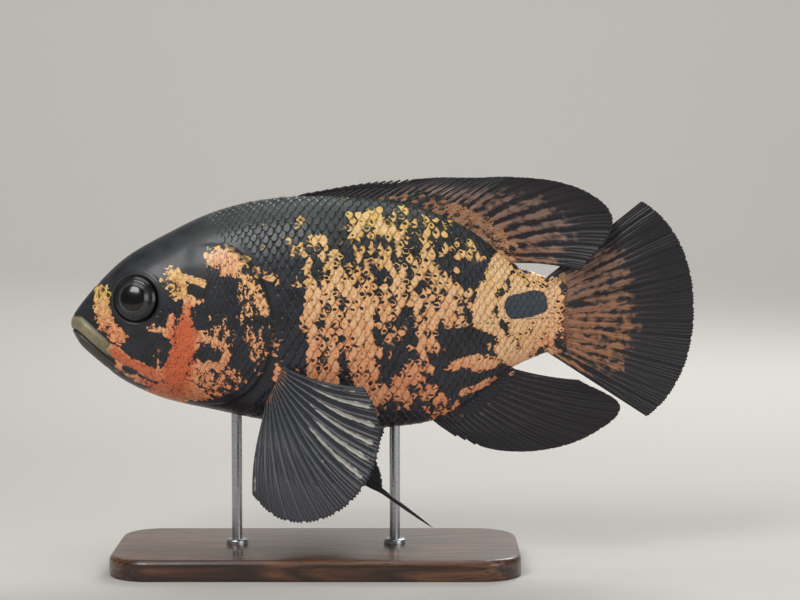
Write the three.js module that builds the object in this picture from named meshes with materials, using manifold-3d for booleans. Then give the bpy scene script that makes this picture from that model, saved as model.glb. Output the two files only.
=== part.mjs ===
// A life-size model of a swimming oscar, a deep-bodied South American cichlid, on a plain display stand.
// The fish looks along -X with its back up, so its left side faces -Y. Sizes are in millimetres.
// The body is one smooth form that thin cuts part into head, jaw, trunk and tail stalk.
// Gill covers, lips and eyes are set into it, and every fin is a membrane with its rays raised on both faces.

import * as THREE from "three";
import { mergeVertices } from "three/addons/utils/BufferGeometryUtils.js";
import Module from "manifold-3d";

const wasm = await Module();
wasm.setup();

// Driving sizes of the fish
const STANDARD_LENGTH = 183; // from the snout to the root of the tail fin
const SNOUT_X = -94; // the snout stands this far in front of the middle of the stand
const AXIS_HEIGHT = 98; // the level of the snout and the tail root above the table
const GAP = 0.3; // left between pieces that touch
const SWAY = 6; // how far the tail end swings to the fish's right
const SWAY_START = 0.33; // share of the standard length where the swing begins

// Body stations, in shares of the standard length:
// place, back, belly, level of the widest part, half width; then the roundness of the back and of the belly,
// where 2 is an ellipse, less is a keel and more is fuller.
const STATIONS = [
  [0.004, -0.004, -0.042, -0.023, 0.016, 2.0, 2.0],
  [0.027, 0.027, -0.074, -0.027, 0.037, 2.1, 2.0],
  [0.066, 0.071, -0.112, -0.027, 0.057, 2.3, 2.1],
  [0.12, 0.119, -0.15, -0.022, 0.074, 2.4, 2.2],
  [0.197, 0.163, -0.183, -0.016, 0.089, 2.3, 2.4],
  [0.295, 0.209, -0.205, -0.011, 0.103, 2.0, 2.5],
  [0.404, 0.236, -0.227, -0.005, 0.108, 1.85, 2.4],
  [0.536, 0.244, -0.243, 0.0, 0.105, 1.8, 2.2],
  [0.667, 0.234, -0.243, 0.0, 0.089, 1.8, 2.0],
  [0.776, 0.204, -0.224, 0.0, 0.066, 1.8, 1.8],
  [0.858, 0.158, -0.172, -0.003, 0.048, 1.9, 1.8],
  [0.923, 0.103, -0.119, -0.006, 0.036, 2.0, 2.0],
  [1.0, 0.071, -0.085, -0.007, 0.02, 2.0, 2.0],
];
const RINGS = 34;
const RING_SIDES = 28;

// Head
const EYE = { x: 0.144, z: 0.032, radius: 9.3, depth: 5.7, proud: 2.9, forward: 13, upward: 9, rim: 1.1 };
const LIP = {
  tip: 2.9, halfWidth: 10.2, run: 12.5, top: -3.9, slope: 0.85,
  radius: 2.45, lowerRadius: 1.9, drop: 4.4, thinning: 0.45, steps: 14, sides: 9,
};
const NOSTRIL = { x: 0.071, z: 0.049, rim: 1.15, wall: 0.5, pit: 0.85 };
const GILL_COVER = { raised: 0.7, thickness: 1.6, keelClear: 2.2 };
// Outline of a gill cover from the side, from its upper front corner backwards
const GILL_OUTLINE = [
  [47, 24], [58, 26.5], [68, 20.5], [75, 9], [77.6, -5], [75.5, -19],
  [67.5, -30], [55, -34.5], [42, -31.5], [37, -27], [42.5, -18], [45, -5], [45.2, 10],
];
// Where the head meets the trunk under the gill covers, from the nape to the throat
const NECK_CUT = [[59, 60], [61, 32], [66, 10], [66, -12], [60, -30], [54, -60]];
// The hind edge of the lower jaw, from the corner of the mouth to the chin
const JAW_HINGE = [[16.5, -17.4], [23.5, -23.5], [29, -34], [31, -50]];
const STALK_CUT = 168.5;

// Fins: lengths in millimetres and angles in degrees from the level, both taken evenly along the fin's root
const DORSAL = {
  from: 80, to: 166, spines: 13, rays: 19, rows: 5, bend: 18, lean: -5,
  lengths: [8.5, 12.4, 14.4, 15.8, 19, 23, 29, 50, 27],
  angles: [30, 32, 36, 39, 41, 42, 44, 21, 4],
  rootHalf: 1.2, edgeHalf: 0.27, ridge: 0.3,
};
const ANAL = {
  from: 136.7, to: 166.5, spines: 3, rays: 16, rows: 5, bend: 16, lean: -3,
  lengths: [10, 19, 29, 38, 46.5, 48, 26.5],
  angles: [46, 48, 43, 37, 28, 20, 18],
  rootHalf: 1.1, edgeHalf: 0.27, ridge: 0.3,
};
const TAIL = {
  rays: 16, rows: 7, upper: 39, lower: -33, middleLength: 57, cornerLength: 46.5,
  rootHalf: 3.1, edgeHalf: 0.27, ridge: 0.34, wave: 2.4,
};
const PECTORAL = {
  rays: 14, rows: 6, x: [81, 77.5], z: [-18.5, -31.5], lengths: [34, 46.5, 53, 54.5, 49, 37],
  angles: [12, 33, 56, 79, 101], flare: 25, curl: 5, rootHalf: 1.3, edgeHalf: 0.26, ridge: 0.26,
};
const PELVIC = {
  rays: 6, rows: 7, x: [75, 84], side: [7.2, 4.6], lengths: [37, 50, 47, 42, 35, 28],
  angles: [37, 35, 32, 28, 22, 16], flare: 11, curl: 3, filament: 76, rootHalf: 1.2, edgeHalf: 0.27, ridge: 0.28,
};

// Stand
const BASE = { length: 156, width: 70, height: 8, corner: 16, chamfer: 1.2 };
const ROD = { radius: 2, places: [63, 124], sides: 16 };

const toRadians = THREE.MathUtils.degToRad;

// The value of a smooth curve through evenly spaced numbers, at a share of its length
function along(values, share) {
  const place = THREE.MathUtils.clamp(share, 0, 1) * (values.length - 1);
  const i = Math.min(Math.floor(place), values.length - 2);
  const f = place - i;
  const a = values[Math.max(i - 1, 0)];
  const b = values[i];
  const c = values[i + 1];
  const d = values[Math.min(i + 2, values.length - 1)];
  const slopeIn = (c - a) / 2;
  const slopeOut = (d - b) / 2;
  const f2 = f * f;
  const f3 = f2 * f;
  return (2 * f3 - 3 * f2 + 1) * b + (f3 - 2 * f2 + f) * slopeIn + (3 * f2 - 2 * f3) * c + (f3 - f2) * slopeOut;
}

function smooth(from, to, value) {
  const t = THREE.MathUtils.clamp((value - from) / (to - from), 0, 1);
  return t * t * (3 - 2 * t);
}

// Sideways place of the fish's middle plane at a distance from the snout
function midline(x) {
  const share = Math.max(0, x / STANDARD_LENGTH - SWAY_START);
  return SWAY * share * share;
}

// The body's section at a share of the way along the stations, in millimetres, grown outwards by `grow`
function sectionAt(share, grow = 0) {
  const [x, back, belly, level, half, roof, keel] = STATIONS[0].map((_, column) =>
    along(STATIONS.map((row) => row[column]), share));
  return {
    x: x * STANDARD_LENGTH,
    back: back * STANDARD_LENGTH + grow,
    belly: belly * STANDARD_LENGTH - grow,
    level: level * STANDARD_LENGTH,
    half: half * STANDARD_LENGTH + grow,
    roof,
    keel,
  };
}

// The same section found by its distance from the snout
function sectionAtX(x, grow = 0) {
  let low = 0;
  let high = 1;
  for (let i = 0; i < 30; i++) {
    const middle = (low + high) / 2;
    if (sectionAt(middle).x < x) low = middle;
    else high = middle;
  }
  return sectionAt(low, grow);
}

// Half the body's width at a distance from the snout and a height
function halfWidthAt(x, z) {
  const s = sectionAtX(x);
  const above = z > s.level;
  const share = above ? (z - s.level) / (s.back - s.level) : (s.level - z) / (s.level - s.belly);
  const power = above ? s.roof : s.keel;
  return s.half * Math.sqrt(Math.max(0, 1 - Math.min(1, share) ** power));
}

// Turns an indexed mesh of points and triangles into a solid
function solidOf(points, triangles) {
  const vertProperties = new Float32Array(points.length * 3);
  points.forEach((p, i) => vertProperties.set([p.x, p.y, p.z], i * 3));
  return new wasm.Manifold(new wasm.Mesh({ numProp: 3, vertProperties, triVerts: new Uint32Array(triangles) }));
}

function solidOfGeometry(geometry) {
  const bare = geometry.index ? geometry.toNonIndexed() : geometry.clone();
  const position = new THREE.BufferGeometry().setAttribute("position", bare.getAttribute("position"));
  const merged = mergeVertices(position, 1e-3);
  return new wasm.Manifold(new wasm.Mesh({
    numProp: 3,
    vertProperties: merged.attributes.position.array,
    triVerts: new Uint32Array(merged.index.array),
  }));
}

// The largest closed surface of a solid
function largest(solid) {
  const pieces = solid.decompose();
  return pieces.reduce((best, piece) => (piece.volume() > best.volume() ? piece : best), pieces[0]);
}

// The whole body as rings of points from snout to tail root, closed at both ends
function bodyForm(grow = 0) {
  const points = [];
  const triangles = [];
  for (let ring = 0; ring < RINGS; ring++) {
    const s = sectionAt(ring / (RINGS - 1), grow);
    const ends = ring === 0 ? -grow : ring === RINGS - 1 ? grow : 0;
    for (let side = 0; side < RING_SIDES; side++) {
      const angle = (side / RING_SIDES) * 2 * Math.PI;
      const up = Math.sin(angle);
      const height = up >= 0 ? s.back - s.level : s.level - s.belly;
      const power = 2 / (up >= 0 ? s.roof : s.keel);
      points.push(new THREE.Vector3(
        s.x + ends,
        midline(s.x) + s.half * Math.cos(angle),
        s.level + Math.sign(up) * height * Math.abs(up) ** power,
      ));
    }
  }
  for (let ring = 0; ring < RINGS - 1; ring++) {
    for (let side = 0; side < RING_SIDES; side++) {
      const next = (side + 1) % RING_SIDES;
      const a = ring * RING_SIDES + side;
      const b = ring * RING_SIDES + next;
      triangles.push(a, b, a + RING_SIDES, b, b + RING_SIDES, a + RING_SIDES);
    }
  }
  for (const ring of [0, RINGS - 1]) {
    const first = ring * RING_SIDES;
    for (let side = 1; side < RING_SIDES - 1; side++) {
      const fan = [first, first + side, first + side + 1];
      triangles.push(...(ring === 0 ? fan.reverse() : fan));
    }
  }
  return solidOf(points, triangles);
}

// A block that runs right across the fish, with this outline seen from its left side
function prism(outline, smoothed = true, reach = 80) {
  const corners = outline.map(([x, z]) => new THREE.Vector2(x, z));
  const shape = new THREE.Shape(smoothed
    ? new THREE.SplineCurve([...corners, corners[0]]).getPoints(outline.length * 2).slice(0, -1)
    : corners);
  const geometry = new THREE.ExtrudeGeometry(shape, { depth: 2 * reach, bevelEnabled: false, steps: 1 });
  geometry.rotateX(Math.PI / 2).translate(0, reach, 0);
  return solidOfGeometry(geometry);
}

// The outline moved outwards from its middle by a distance
function widened(outline, distance) {
  const centre = outline.reduce(([sx, sz], [x, z]) => [sx + x / outline.length, sz + z / outline.length], [0, 0]);
  return outline.map(([x, z]) => {
    const away = new THREE.Vector2(x - centre[0], z - centre[1]);
    away.setLength(away.length() + distance);
    return [centre[0] + away.x, centre[1] + away.y];
  });
}

// Everything in front of a line that runs down through the fish
function aheadOf(line, shift) {
  const moved = line.map(([x, z]) => [x + shift, z]);
  const curve = new THREE.SplineCurve(moved.map(([x, z]) => new THREE.Vector2(x, z))).getPoints(12);
  const edge = curve.map((p) => [p.x, p.y]);
  const front = -30;
  return prism([...edge, [front, edge.at(-1)[1]], [front, edge[0][1]]], false);
}

// A smooth rod through points, each with its own radius, closed by flat ends
function rodThrough(points, radii, sides) {
  const rings = points.map((p, i) => {
    const before = points[Math.max(i - 1, 0)];
    const after = points[Math.min(i + 1, points.length - 1)];
    const forward = after.clone().sub(before).normalize();
    const across = new THREE.Vector3(0, 0, 1).cross(forward).normalize();
    const up = forward.clone().cross(across);
    return Array.from({ length: sides }, (_, side) => {
      const angle = (side / sides) * 2 * Math.PI;
      return p.clone().addScaledVector(across, radii[i] * Math.cos(angle)).addScaledVector(up, radii[i] * Math.sin(angle));
    });
  });
  const triangles = [];
  for (let i = 0; i < rings.length - 1; i++) {
    for (let side = 0; side < sides; side++) {
      const next = (side + 1) % sides;
      const a = i * sides + side;
      const b = i * sides + next;
      triangles.push(a, b, a + sides, b, b + sides, a + sides);
    }
  }
  for (let side = 1; side < sides - 1; side++) {
    const last = (rings.length - 1) * sides;
    triangles.push(0, side + 1, side, last, last + side, last + side + 1);
  }
  return solidOf(rings.flat(), triangles);
}

// A lip: a roll that runs from one corner of the mouth round the snout to the other
function lipRoll(radius, drop, grow = 0) {
  const points = [];
  const radii = [];
  for (let i = 0; i <= LIP.steps; i++) {
    const toCorner = THREE.MathUtils.lerp(-1, 1, i / LIP.steps);
    const turn = toCorner * (Math.PI / 2);
    const back = LIP.run * (1 - Math.cos(turn));
    points.push(new THREE.Vector3(
      LIP.tip + back + drop * 0.08,
      -LIP.halfWidth * Math.sin(turn),
      LIP.top - drop - LIP.slope * back,
    ));
    radii.push(radius * (1 - LIP.thinning * Math.abs(toCorner) ** 3) + grow);
  }
  return rodThrough(points, radii, LIP.sides);
}

// The block between the mouth line and the chin, in front of the jaw's hinge
function jawBlock(shift) {
  const mouth = [-6, LIP.top - LIP.radius + LIP.slope * (LIP.tip + 6)];
  const raised = [mouth, ...JAW_HINGE].map(([x, z]) => [x + shift, z + shift]);
  return prism([...raised, [-6 + shift, -50]], false);
}

// An eyeball on one side, -1 for the left
function eyeball(side, grow = 0) {
  const x = EYE.x * STANDARD_LENGTH;
  const z = EYE.z * STANDARD_LENGTH;
  const geometry = new THREE.SphereGeometry(1, 20, 10);
  geometry.rotateX(Math.PI / 2);
  geometry.scale(EYE.radius + grow, EYE.depth + grow, EYE.radius + grow);
  placeOnCheek(geometry, side, x, halfWidthAt(x, z) + EYE.proud - EYE.depth, z);
  return solidOfGeometry(geometry);
}

// Turns a form made round the Y axis to face outwards from the cheek and puts it there
function placeOnCheek(geometry, side, x, out, z) {
  geometry.rotateX(side * toRadians(EYE.upward));
  geometry.rotateZ(side * toRadians(EYE.forward));
  geometry.translate(x, side * out, z);
}

// A rounded ring on the cheek, for the rim of an eye socket or a nostril
function rimRing(side, x, z, radius, wall, lift, segments) {
  const geometry = new THREE.TorusGeometry(radius, wall, 6, segments);
  geometry.rotateX(Math.PI / 2);
  placeOnCheek(geometry, side, x, halfWidthAt(x, z) + lift, z);
  return solidOfGeometry(geometry);
}

function nostrilPit(side) {
  const x = NOSTRIL.x * STANDARD_LENGTH;
  const z = NOSTRIL.z * STANDARD_LENGTH;
  const geometry = new THREE.SphereGeometry(NOSTRIL.pit, 8, 6);
  geometry.translate(x, side * halfWidthAt(x, z), z);
  return solidOfGeometry(geometry);
}

// The head, cut back for the jaw, lips, eyes and gill covers, with its raised rims
function headSolid(body, recesses, upperLip, jaw) {
  let head = body.intersect(aheadOf(NECK_CUT, -GAP / 2));
  for (const side of [-1, 1]) {
    const eyeX = EYE.x * STANDARD_LENGTH;
    const eyeZ = EYE.z * STANDARD_LENGTH;
    const nostrilX = NOSTRIL.x * STANDARD_LENGTH;
    const nostrilZ = NOSTRIL.z * STANDARD_LENGTH;
    head = head.add(rimRing(side, eyeX, eyeZ, EYE.radius + 0.3 * EYE.rim, EYE.rim, -0.2 * EYE.rim, 20));
    head = head.add(rimRing(side, nostrilX, nostrilZ, NOSTRIL.rim, NOSTRIL.wall, -0.1, 9));
    head = head.subtract(eyeball(side, GAP)).subtract(nostrilPit(side));
  }
  head = head.subtract(jaw).subtract(upperLip);
  for (const recess of recesses) head = head.subtract(recess);
  return largest(head);
}

// One side's gill cover: a curved plate that follows the body and stands a little proud of it
function gillCover(side, outer, inner) {
  const half = prism([[0, -60], [100, -60], [100, 60], [0, 60]], false, 40)
    .translate([0, side * (40 + GILL_COVER.keelClear), 0]);
  return largest(outer.subtract(inner).intersect(prism(GILL_OUTLINE)).intersect(half));
}

// The columns of a fin's grid. Each ray is one ridge, and a forked soft ray's ridge parts in two half way out.
// Each column says where along the root it stands, how high its ridge is and how far out it reaches.
function rayColumns(spines, softRays, { forked = false, notch = 0.86, scallop = 0.975 } = {}) {
  const count = spines + softRays;
  const columns = [];
  for (let i = 0; i < count; i++) {
    const soft = i >= spines;
    const start = i / count;
    const fork = (out) => smooth(0.4, 0.62, out);
    columns.push({ share: start, ridge: () => 0, reach: soft ? scallop : notch });
    const parts = soft && forked;
    if (parts) columns.push({ share: start + 0.27 / count, ridge: fork, reach: 0.995 });
    columns.push({ share: start + 0.5 / count, ridge: (out) => (parts ? 1 - fork(out) : 1), reach: parts ? 0.985 : 1 });
    if (parts) columns.push({ share: start + 0.73 / count, ridge: fork, reach: 0.995 });
  }
  columns.push({ share: 1, ridge: () => 0, reach: scallop });
  return columns;
}

// A fin as a closed sheet. surface(share, out) gives its middle layer, and half(share, out) half the membrane's
// thickness. Both faces have the same triangles, so that a curved fin never crosses itself.
function finSolid(columns, rows, surface, half, ridgeHeight) {
  const step = 0.01;
  const faces = [1, -1].map((facing) => columns.map((column) =>
    Array.from({ length: rows + 1 }, (_, row) => {
      const share = column.share;
      const out = row / rows;
      const at = surface(share, out, column);
      const inward = share > 0.5 ? -step : step;
      const across = surface(share + inward, out, column).sub(at).multiplyScalar(Math.sign(inward));
      const outward = surface(share, out + step, column).sub(at);
      const normal = across.cross(outward).normalize();
      const thick = half(share, out) + ridgeHeight * column.ridge(out) * (1 - 0.75 * out);
      return at.addScaledVector(normal, facing * thick);
    })));
  const points = faces.flat(2);
  const perColumn = rows + 1;
  const perFace = columns.length * perColumn;
  const front = (column, row) => column * perColumn + row;
  const backOf = (index) => index + perFace;
  const triangles = [];
  for (let c = 0; c < columns.length - 1; c++) {
    for (let r = 0; r < rows; r++) {
      const [a, b, d, e] = [front(c, r), front(c + 1, r), front(c + 1, r + 1), front(c, r + 1)];
      triangles.push(a, b, d, a, d, e);
      triangles.push(backOf(a), backOf(d), backOf(b), backOf(a), backOf(e), backOf(d));
    }
  }
  const wall = (a, b) => triangles.push(b, a, backOf(a), b, backOf(a), backOf(b));
  for (let c = 0; c < columns.length - 1; c++) {
    wall(front(c, 0), front(c + 1, 0));
    wall(front(c + 1, rows), front(c, rows));
  }
  for (let r = 0; r < rows; r++) {
    wall(front(0, r + 1), front(0, r));
    wall(front(columns.length - 1, r), front(columns.length - 1, r + 1));
  }
  const made = solidOf(points, triangles);
  return made.volume() < 0 ? solidOf(points, triangles.reverse()) : made;
}

// A ray's path from its root: it leaves at one angle and flattens by `bend` degrees on its way out
function rayReach(length, out, angle, bend) {
  const mean = toRadians(angle - (bend * out) / 2);
  return [length * out * Math.cos(mean), length * out * Math.sin(mean)];
}

// How thick a fin's membrane is: stout at the root, thin from a third of the way out
function taper(rootHalf, edgeHalf, out) {
  return edgeHalf + (rootHalf - edgeHalf) * (1 - smooth(0, 0.55, out)) ** 1.6;
}

// The fin along the back, or the anal fin where upward is -1
function medianFin(fin, upward, clearance) {
  const sink = 2.4;
  const surface = (share, out, column) => {
    const x = THREE.MathUtils.lerp(fin.from, fin.to, share);
    const s = sectionAtX(Math.min(x, STANDARD_LENGTH));
    const root = upward > 0 ? s.back - sink : s.belly + sink;
    const length = along(fin.lengths, share) + sink;
    const [back, rise] = rayReach(length * column.reach, out, along(fin.angles, share), fin.bend);
    const lean = fin.lean * smooth(0.45, 0.95, share) * out * out;
    return new THREE.Vector3(x + back, midline(x) + lean, root + upward * rise);
  };
  const half = (share, out) => taper(fin.rootHalf, fin.edgeHalf, out);
  const fan = finSolid(rayColumns(fin.spines, fin.rays), fin.rows, surface, half, fin.ridge);
  return largest(fan.subtract(clearance));
}

function tailFin() {
  const root = sectionAtX(STANDARD_LENGTH);
  const surface = (share, out, column) => {
    const high = THREE.MathUtils.lerp(root.belly + 0.4, root.back - 0.4, share);
    const angle = toRadians(THREE.MathUtils.lerp(TAIL.lower, TAIL.upper, share));
    const spread = 2 * share - 1;
    const length = THREE.MathUtils.lerp(TAIL.middleLength, TAIL.cornerLength, Math.abs(spread) ** 2.4) * column.reach;
    const x = STANDARD_LENGTH + GAP + length * out * Math.cos(angle);
    const wave = TAIL.wave * Math.sin(Math.PI * 1.6 * share) * out * out;
    return new THREE.Vector3(x, midline(x) + wave, high + length * out * Math.sin(angle));
  };
  const half = (share, out) => {
    const round = Math.sqrt(Math.max(0.07, 1 - (2 * share - 1) ** 2));
    const stout = (TAIL.rootHalf * round - TAIL.edgeHalf) * (1 - smooth(0, 0.42, out)) ** 2;
    return TAIL.edgeHalf + 0.3 * (1 - out) + Math.max(0, stout);
  };
  const columns = rayColumns(0, TAIL.rays, { forked: true });
  const fan = finSolid(columns, TAIL.rows, surface, half, TAIL.ridge);
  return largest(fan.subtract(prism([[150, -60], [STANDARD_LENGTH + GAP, -60],
    [STANDARD_LENGTH + GAP, 60], [150, 60]], false)));
}

// A fin of a pair. It leaves the body at `out` of its surface and swings outwards as it goes.
function pairedFin(fin, side, rootAt, columns, clearance, turn) {
  const sink = 2;
  const surface = (share, out, column) => {
    const root = rootAt(share);
    const length = (along(fin.lengths, share) + sink) * (column.extend ? column.extend(out) : column.reach * out);
    const angle = toRadians(along(fin.angles, share) + turn);
    const flare = toRadians(fin.flare);
    const across = length * Math.cos(flare);
    const curl = fin.curl * Math.min(out, 1) * (1 - Math.min(out, 1));
    const sideways = root.out - sink * Math.cos(flare) + length * Math.sin(flare) + curl;
    return new THREE.Vector3(
      root.x + across * Math.cos(angle),
      midline(root.x) + side * sideways,
      root.z - across * Math.sin(angle),
    );
  };
  const half = (share, out) => taper(fin.rootHalf, fin.edgeHalf, out);
  const fan = finSolid(columns, fin.rows, surface, half, fin.ridge);
  return largest(fan.subtract(clearance));
}

function pectoralFin(side, clearance, turn) {
  const rootAt = (share) => {
    const x = THREE.MathUtils.lerp(...PECTORAL.x, share);
    const z = THREE.MathUtils.lerp(...PECTORAL.z, share);
    return { x, z, out: halfWidthAt(x, z) };
  };
  const columns = rayColumns(0, PECTORAL.rays);
  return pairedFin(PECTORAL, side, rootAt, columns, clearance, turn);
}

// The second column group is the long soft ray that ends in a trailing filament
function pelvicFin(side, clearance, turn) {
  const columns = rayColumns(1, PELVIC.rays - 1, { notch: 0.9, scallop: 0.93 });
  const longRay = columns[3];
  const webbed = 0.82;
  const share = PELVIC.filament / along(PELVIC.lengths, longRay.share);
  longRay.extend = (out) => (out < webbed ? out : webbed + ((out - webbed) / (1 - webbed)) * (share - webbed));
  const rootAt = (place) => {
    const x = THREE.MathUtils.lerp(...PELVIC.x, place);
    const out = THREE.MathUtils.lerp(...PELVIC.side, place);
    return { x, out, z: bellyAt(x, out) + 1.4 };
  };
  return pairedFin(PELVIC, side, rootAt, columns, clearance, turn);
}

// Height of the underside at a distance from the snout and from the middle plane
function bellyAt(x, out) {
  const s = sectionAtX(x);
  const share = Math.max(0, 1 - (out / s.half) ** 2);
  return s.level - (s.level - s.belly) * share ** (1 / s.keel);
}

function standBase() {
  const [w, d, r] = [BASE.length / 2 - BASE.chamfer, BASE.width / 2 - BASE.chamfer, BASE.corner];
  const shape = new THREE.Shape();
  shape.moveTo(-w + r, -d);
  shape.lineTo(w - r, -d);
  shape.absarc(w - r, -d + r, r, -Math.PI / 2, 0);
  shape.lineTo(w, d - r);
  shape.absarc(w - r, d - r, r, 0, Math.PI / 2);
  shape.lineTo(-w + r, d);
  shape.absarc(-w + r, d - r, r, Math.PI / 2, Math.PI);
  shape.lineTo(-w, -d + r);
  shape.absarc(-w + r, -d + r, r, Math.PI, Math.PI * 1.5);
  const geometry = new THREE.ExtrudeGeometry(shape, {
    depth: BASE.height - 2 * BASE.chamfer,
    bevelThickness: BASE.chamfer,
    bevelSize: BASE.chamfer,
    bevelSegments: 1,
    curveSegments: 6,
  });
  geometry.translate(-SNOUT_X, 0, BASE.chamfer - AXIS_HEIGHT);
  return solidOfGeometry(geometry);
}

function standRod(place, clearance) {
  const foot = BASE.height + GAP - AXIS_HEIGHT;
  const top = sectionAtX(place).belly + 4;
  const geometry = new THREE.CylinderGeometry(ROD.radius, ROD.radius, top - foot, ROD.sides);
  geometry.rotateX(Math.PI / 2).translate(place, midline(place), (top + foot) / 2);
  return largest(solidOfGeometry(geometry).subtract(clearance));
}

const FINISHES = {
  skin: { color: 0x25262a, roughness: 0.38, metalness: 0 },
  gill: { color: 0x8f5a3c, roughness: 0.36, metalness: 0 },
  lip: { color: 0xb3a27c, roughness: 0.4, metalness: 0 },
  jaw: { color: 0x8c4a2e, roughness: 0.4, metalness: 0 },
  eye: { color: 0x0b0b0d, roughness: 0.08, metalness: 0 },
  fin: { color: 0x3a3032, roughness: 0.45, metalness: 0 },
  wood: { color: 0x3b2417, roughness: 0.5, metalness: 0 },
  steel: { color: 0xa9acb0, roughness: 0.3, metalness: 1 },
};

const fish = new THREE.Group();
fish.position.set(SNOUT_X, 0, AXIS_HEIGHT);

function addPiece(name, solid, finish) {
  const mesh = solid.getMesh();
  const geometry = new THREE.BufferGeometry();
  geometry.setAttribute("position", new THREE.BufferAttribute(new Float32Array(mesh.vertProperties), 3));
  geometry.setIndex(new THREE.BufferAttribute(new Uint32Array(mesh.triVerts), 1));
  geometry.computeVertexNormals();
  const piece = new THREE.Mesh(geometry, new THREE.MeshStandardMaterial(FINISHES[finish]));
  piece.name = name;
  fish.add(piece);
}

const body = bodyForm();
const clearance = bodyForm(GAP);
const coverOuter = bodyForm(GILL_COVER.raised);
const coverInner = bodyForm(GILL_COVER.raised - GILL_COVER.thickness);
const upperLip = lipRoll(LIP.radius, 0);
const upperLipRoom = lipRoll(LIP.radius, 0, GAP);
const lowerLipRoom = lipRoll(LIP.lowerRadius, LIP.drop, GAP);
const recessFloor = bodyForm(GILL_COVER.raised - GILL_COVER.thickness - GAP);
const recess = coverOuter.subtract(recessFloor).intersect(prism(widened(GILL_OUTLINE, GAP)));

const jaw = largest(body.intersect(jawBlock(-GAP)).add(lipRoll(LIP.lowerRadius, LIP.drop)).subtract(upperLipRoom));
addPiece("head", headSolid(body, [recess], upperLipRoom, jawBlock(0).add(lowerLipRoom)), "skin");
addPiece("upper_lip", upperLip, "lip");
addPiece("lower_jaw", jaw, "jaw");

const behindNeck = body.subtract(aheadOf(NECK_CUT, GAP / 2)).subtract(recess);
const stalkBlock = prism([[STALK_CUT, -60], [250, -60], [250, 60], [STALK_CUT, 60]], false);
const stalkRoom = prism([[STALK_CUT - GAP, -60], [250, -60], [250, 60], [STALK_CUT - GAP, 60]], false);
addPiece("trunk", largest(behindNeck.subtract(stalkRoom)), "skin");
addPiece("tail_stalk", largest(behindNeck.intersect(stalkBlock)), "skin");

addPiece("dorsal_fin", medianFin(DORSAL, 1, clearance), "fin");
addPiece("anal_fin", medianFin(ANAL, -1, clearance), "fin");
addPiece("tail_fin", tailFin(), "fin");
for (const [side, label] of [[-1, "left"], [1, "right"]]) {
  addPiece("eye_" + label, eyeball(side), "eye");
  addPiece("gill_cover_" + label, gillCover(side, coverOuter, coverInner), "gill");
  addPiece("pectoral_fin_" + label, pectoralFin(side, clearance, side < 0 ? 0 : -8), "fin");
  addPiece("pelvic_fin_" + label, pelvicFin(side, clearance, side < 0 ? 0 : 4), "fin");
}
addPiece("stand_base", standBase(), "wood");
addPiece("stand_rod_front", standRod(ROD.places[0], clearance), "steel");
addPiece("stand_rod_rear", standRod(ROD.places[1], clearance), "steel");

export default fish;
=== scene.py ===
"""The finish of a life-size oscar, a deep-bodied South American cichlid, swimming level on a plain stand.

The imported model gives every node's place. The skin, its scales, the eyes, the fins and the stand are modelled here
round it, each by its own operator. Forms of the fish are worked out in millimetres in the fish's own frame:
x runs from the snout to the tail, z up from the level of the tail's root, and the left side has negative y.
"""

import math

import bpy
import numpy as np
from bpy.props import FloatProperty, FloatVectorProperty, IntProperty, PointerProperty
from mathutils import Matrix, Vector

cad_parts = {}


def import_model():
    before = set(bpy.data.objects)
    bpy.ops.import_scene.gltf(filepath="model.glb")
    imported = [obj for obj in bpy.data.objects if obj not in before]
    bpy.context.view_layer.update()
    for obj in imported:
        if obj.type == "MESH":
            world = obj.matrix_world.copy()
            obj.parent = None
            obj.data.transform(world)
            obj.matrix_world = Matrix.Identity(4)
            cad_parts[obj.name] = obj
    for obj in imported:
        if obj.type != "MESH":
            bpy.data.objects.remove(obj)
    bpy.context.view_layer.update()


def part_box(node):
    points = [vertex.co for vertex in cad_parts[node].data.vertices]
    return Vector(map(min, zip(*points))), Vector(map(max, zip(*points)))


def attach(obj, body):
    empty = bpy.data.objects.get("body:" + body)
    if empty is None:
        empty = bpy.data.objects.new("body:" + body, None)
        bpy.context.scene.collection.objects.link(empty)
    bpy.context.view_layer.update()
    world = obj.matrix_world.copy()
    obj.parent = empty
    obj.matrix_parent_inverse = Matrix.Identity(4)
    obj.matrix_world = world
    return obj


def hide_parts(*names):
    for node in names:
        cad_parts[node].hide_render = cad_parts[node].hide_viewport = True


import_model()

bl_info = {
    "name": "Oscar Fish Model",
    "version": (1, 0, 0),
    "blender": (4, 5, 0),
    "location": "View3D > Sidebar > Oscar",
    "description": "Models the skin, scales, eyes, fins and stand of a life-size oscar",
    "category": "Object",
}

# Sizes of the fish in millimetres, in its own frame
STANDARD_LENGTH = 183.0
SNOUT_X = -94.0
AXIS_HEIGHT = 98.0
GAP = 0.3
SWAY = 6.0
SWAY_START = 0.33

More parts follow.
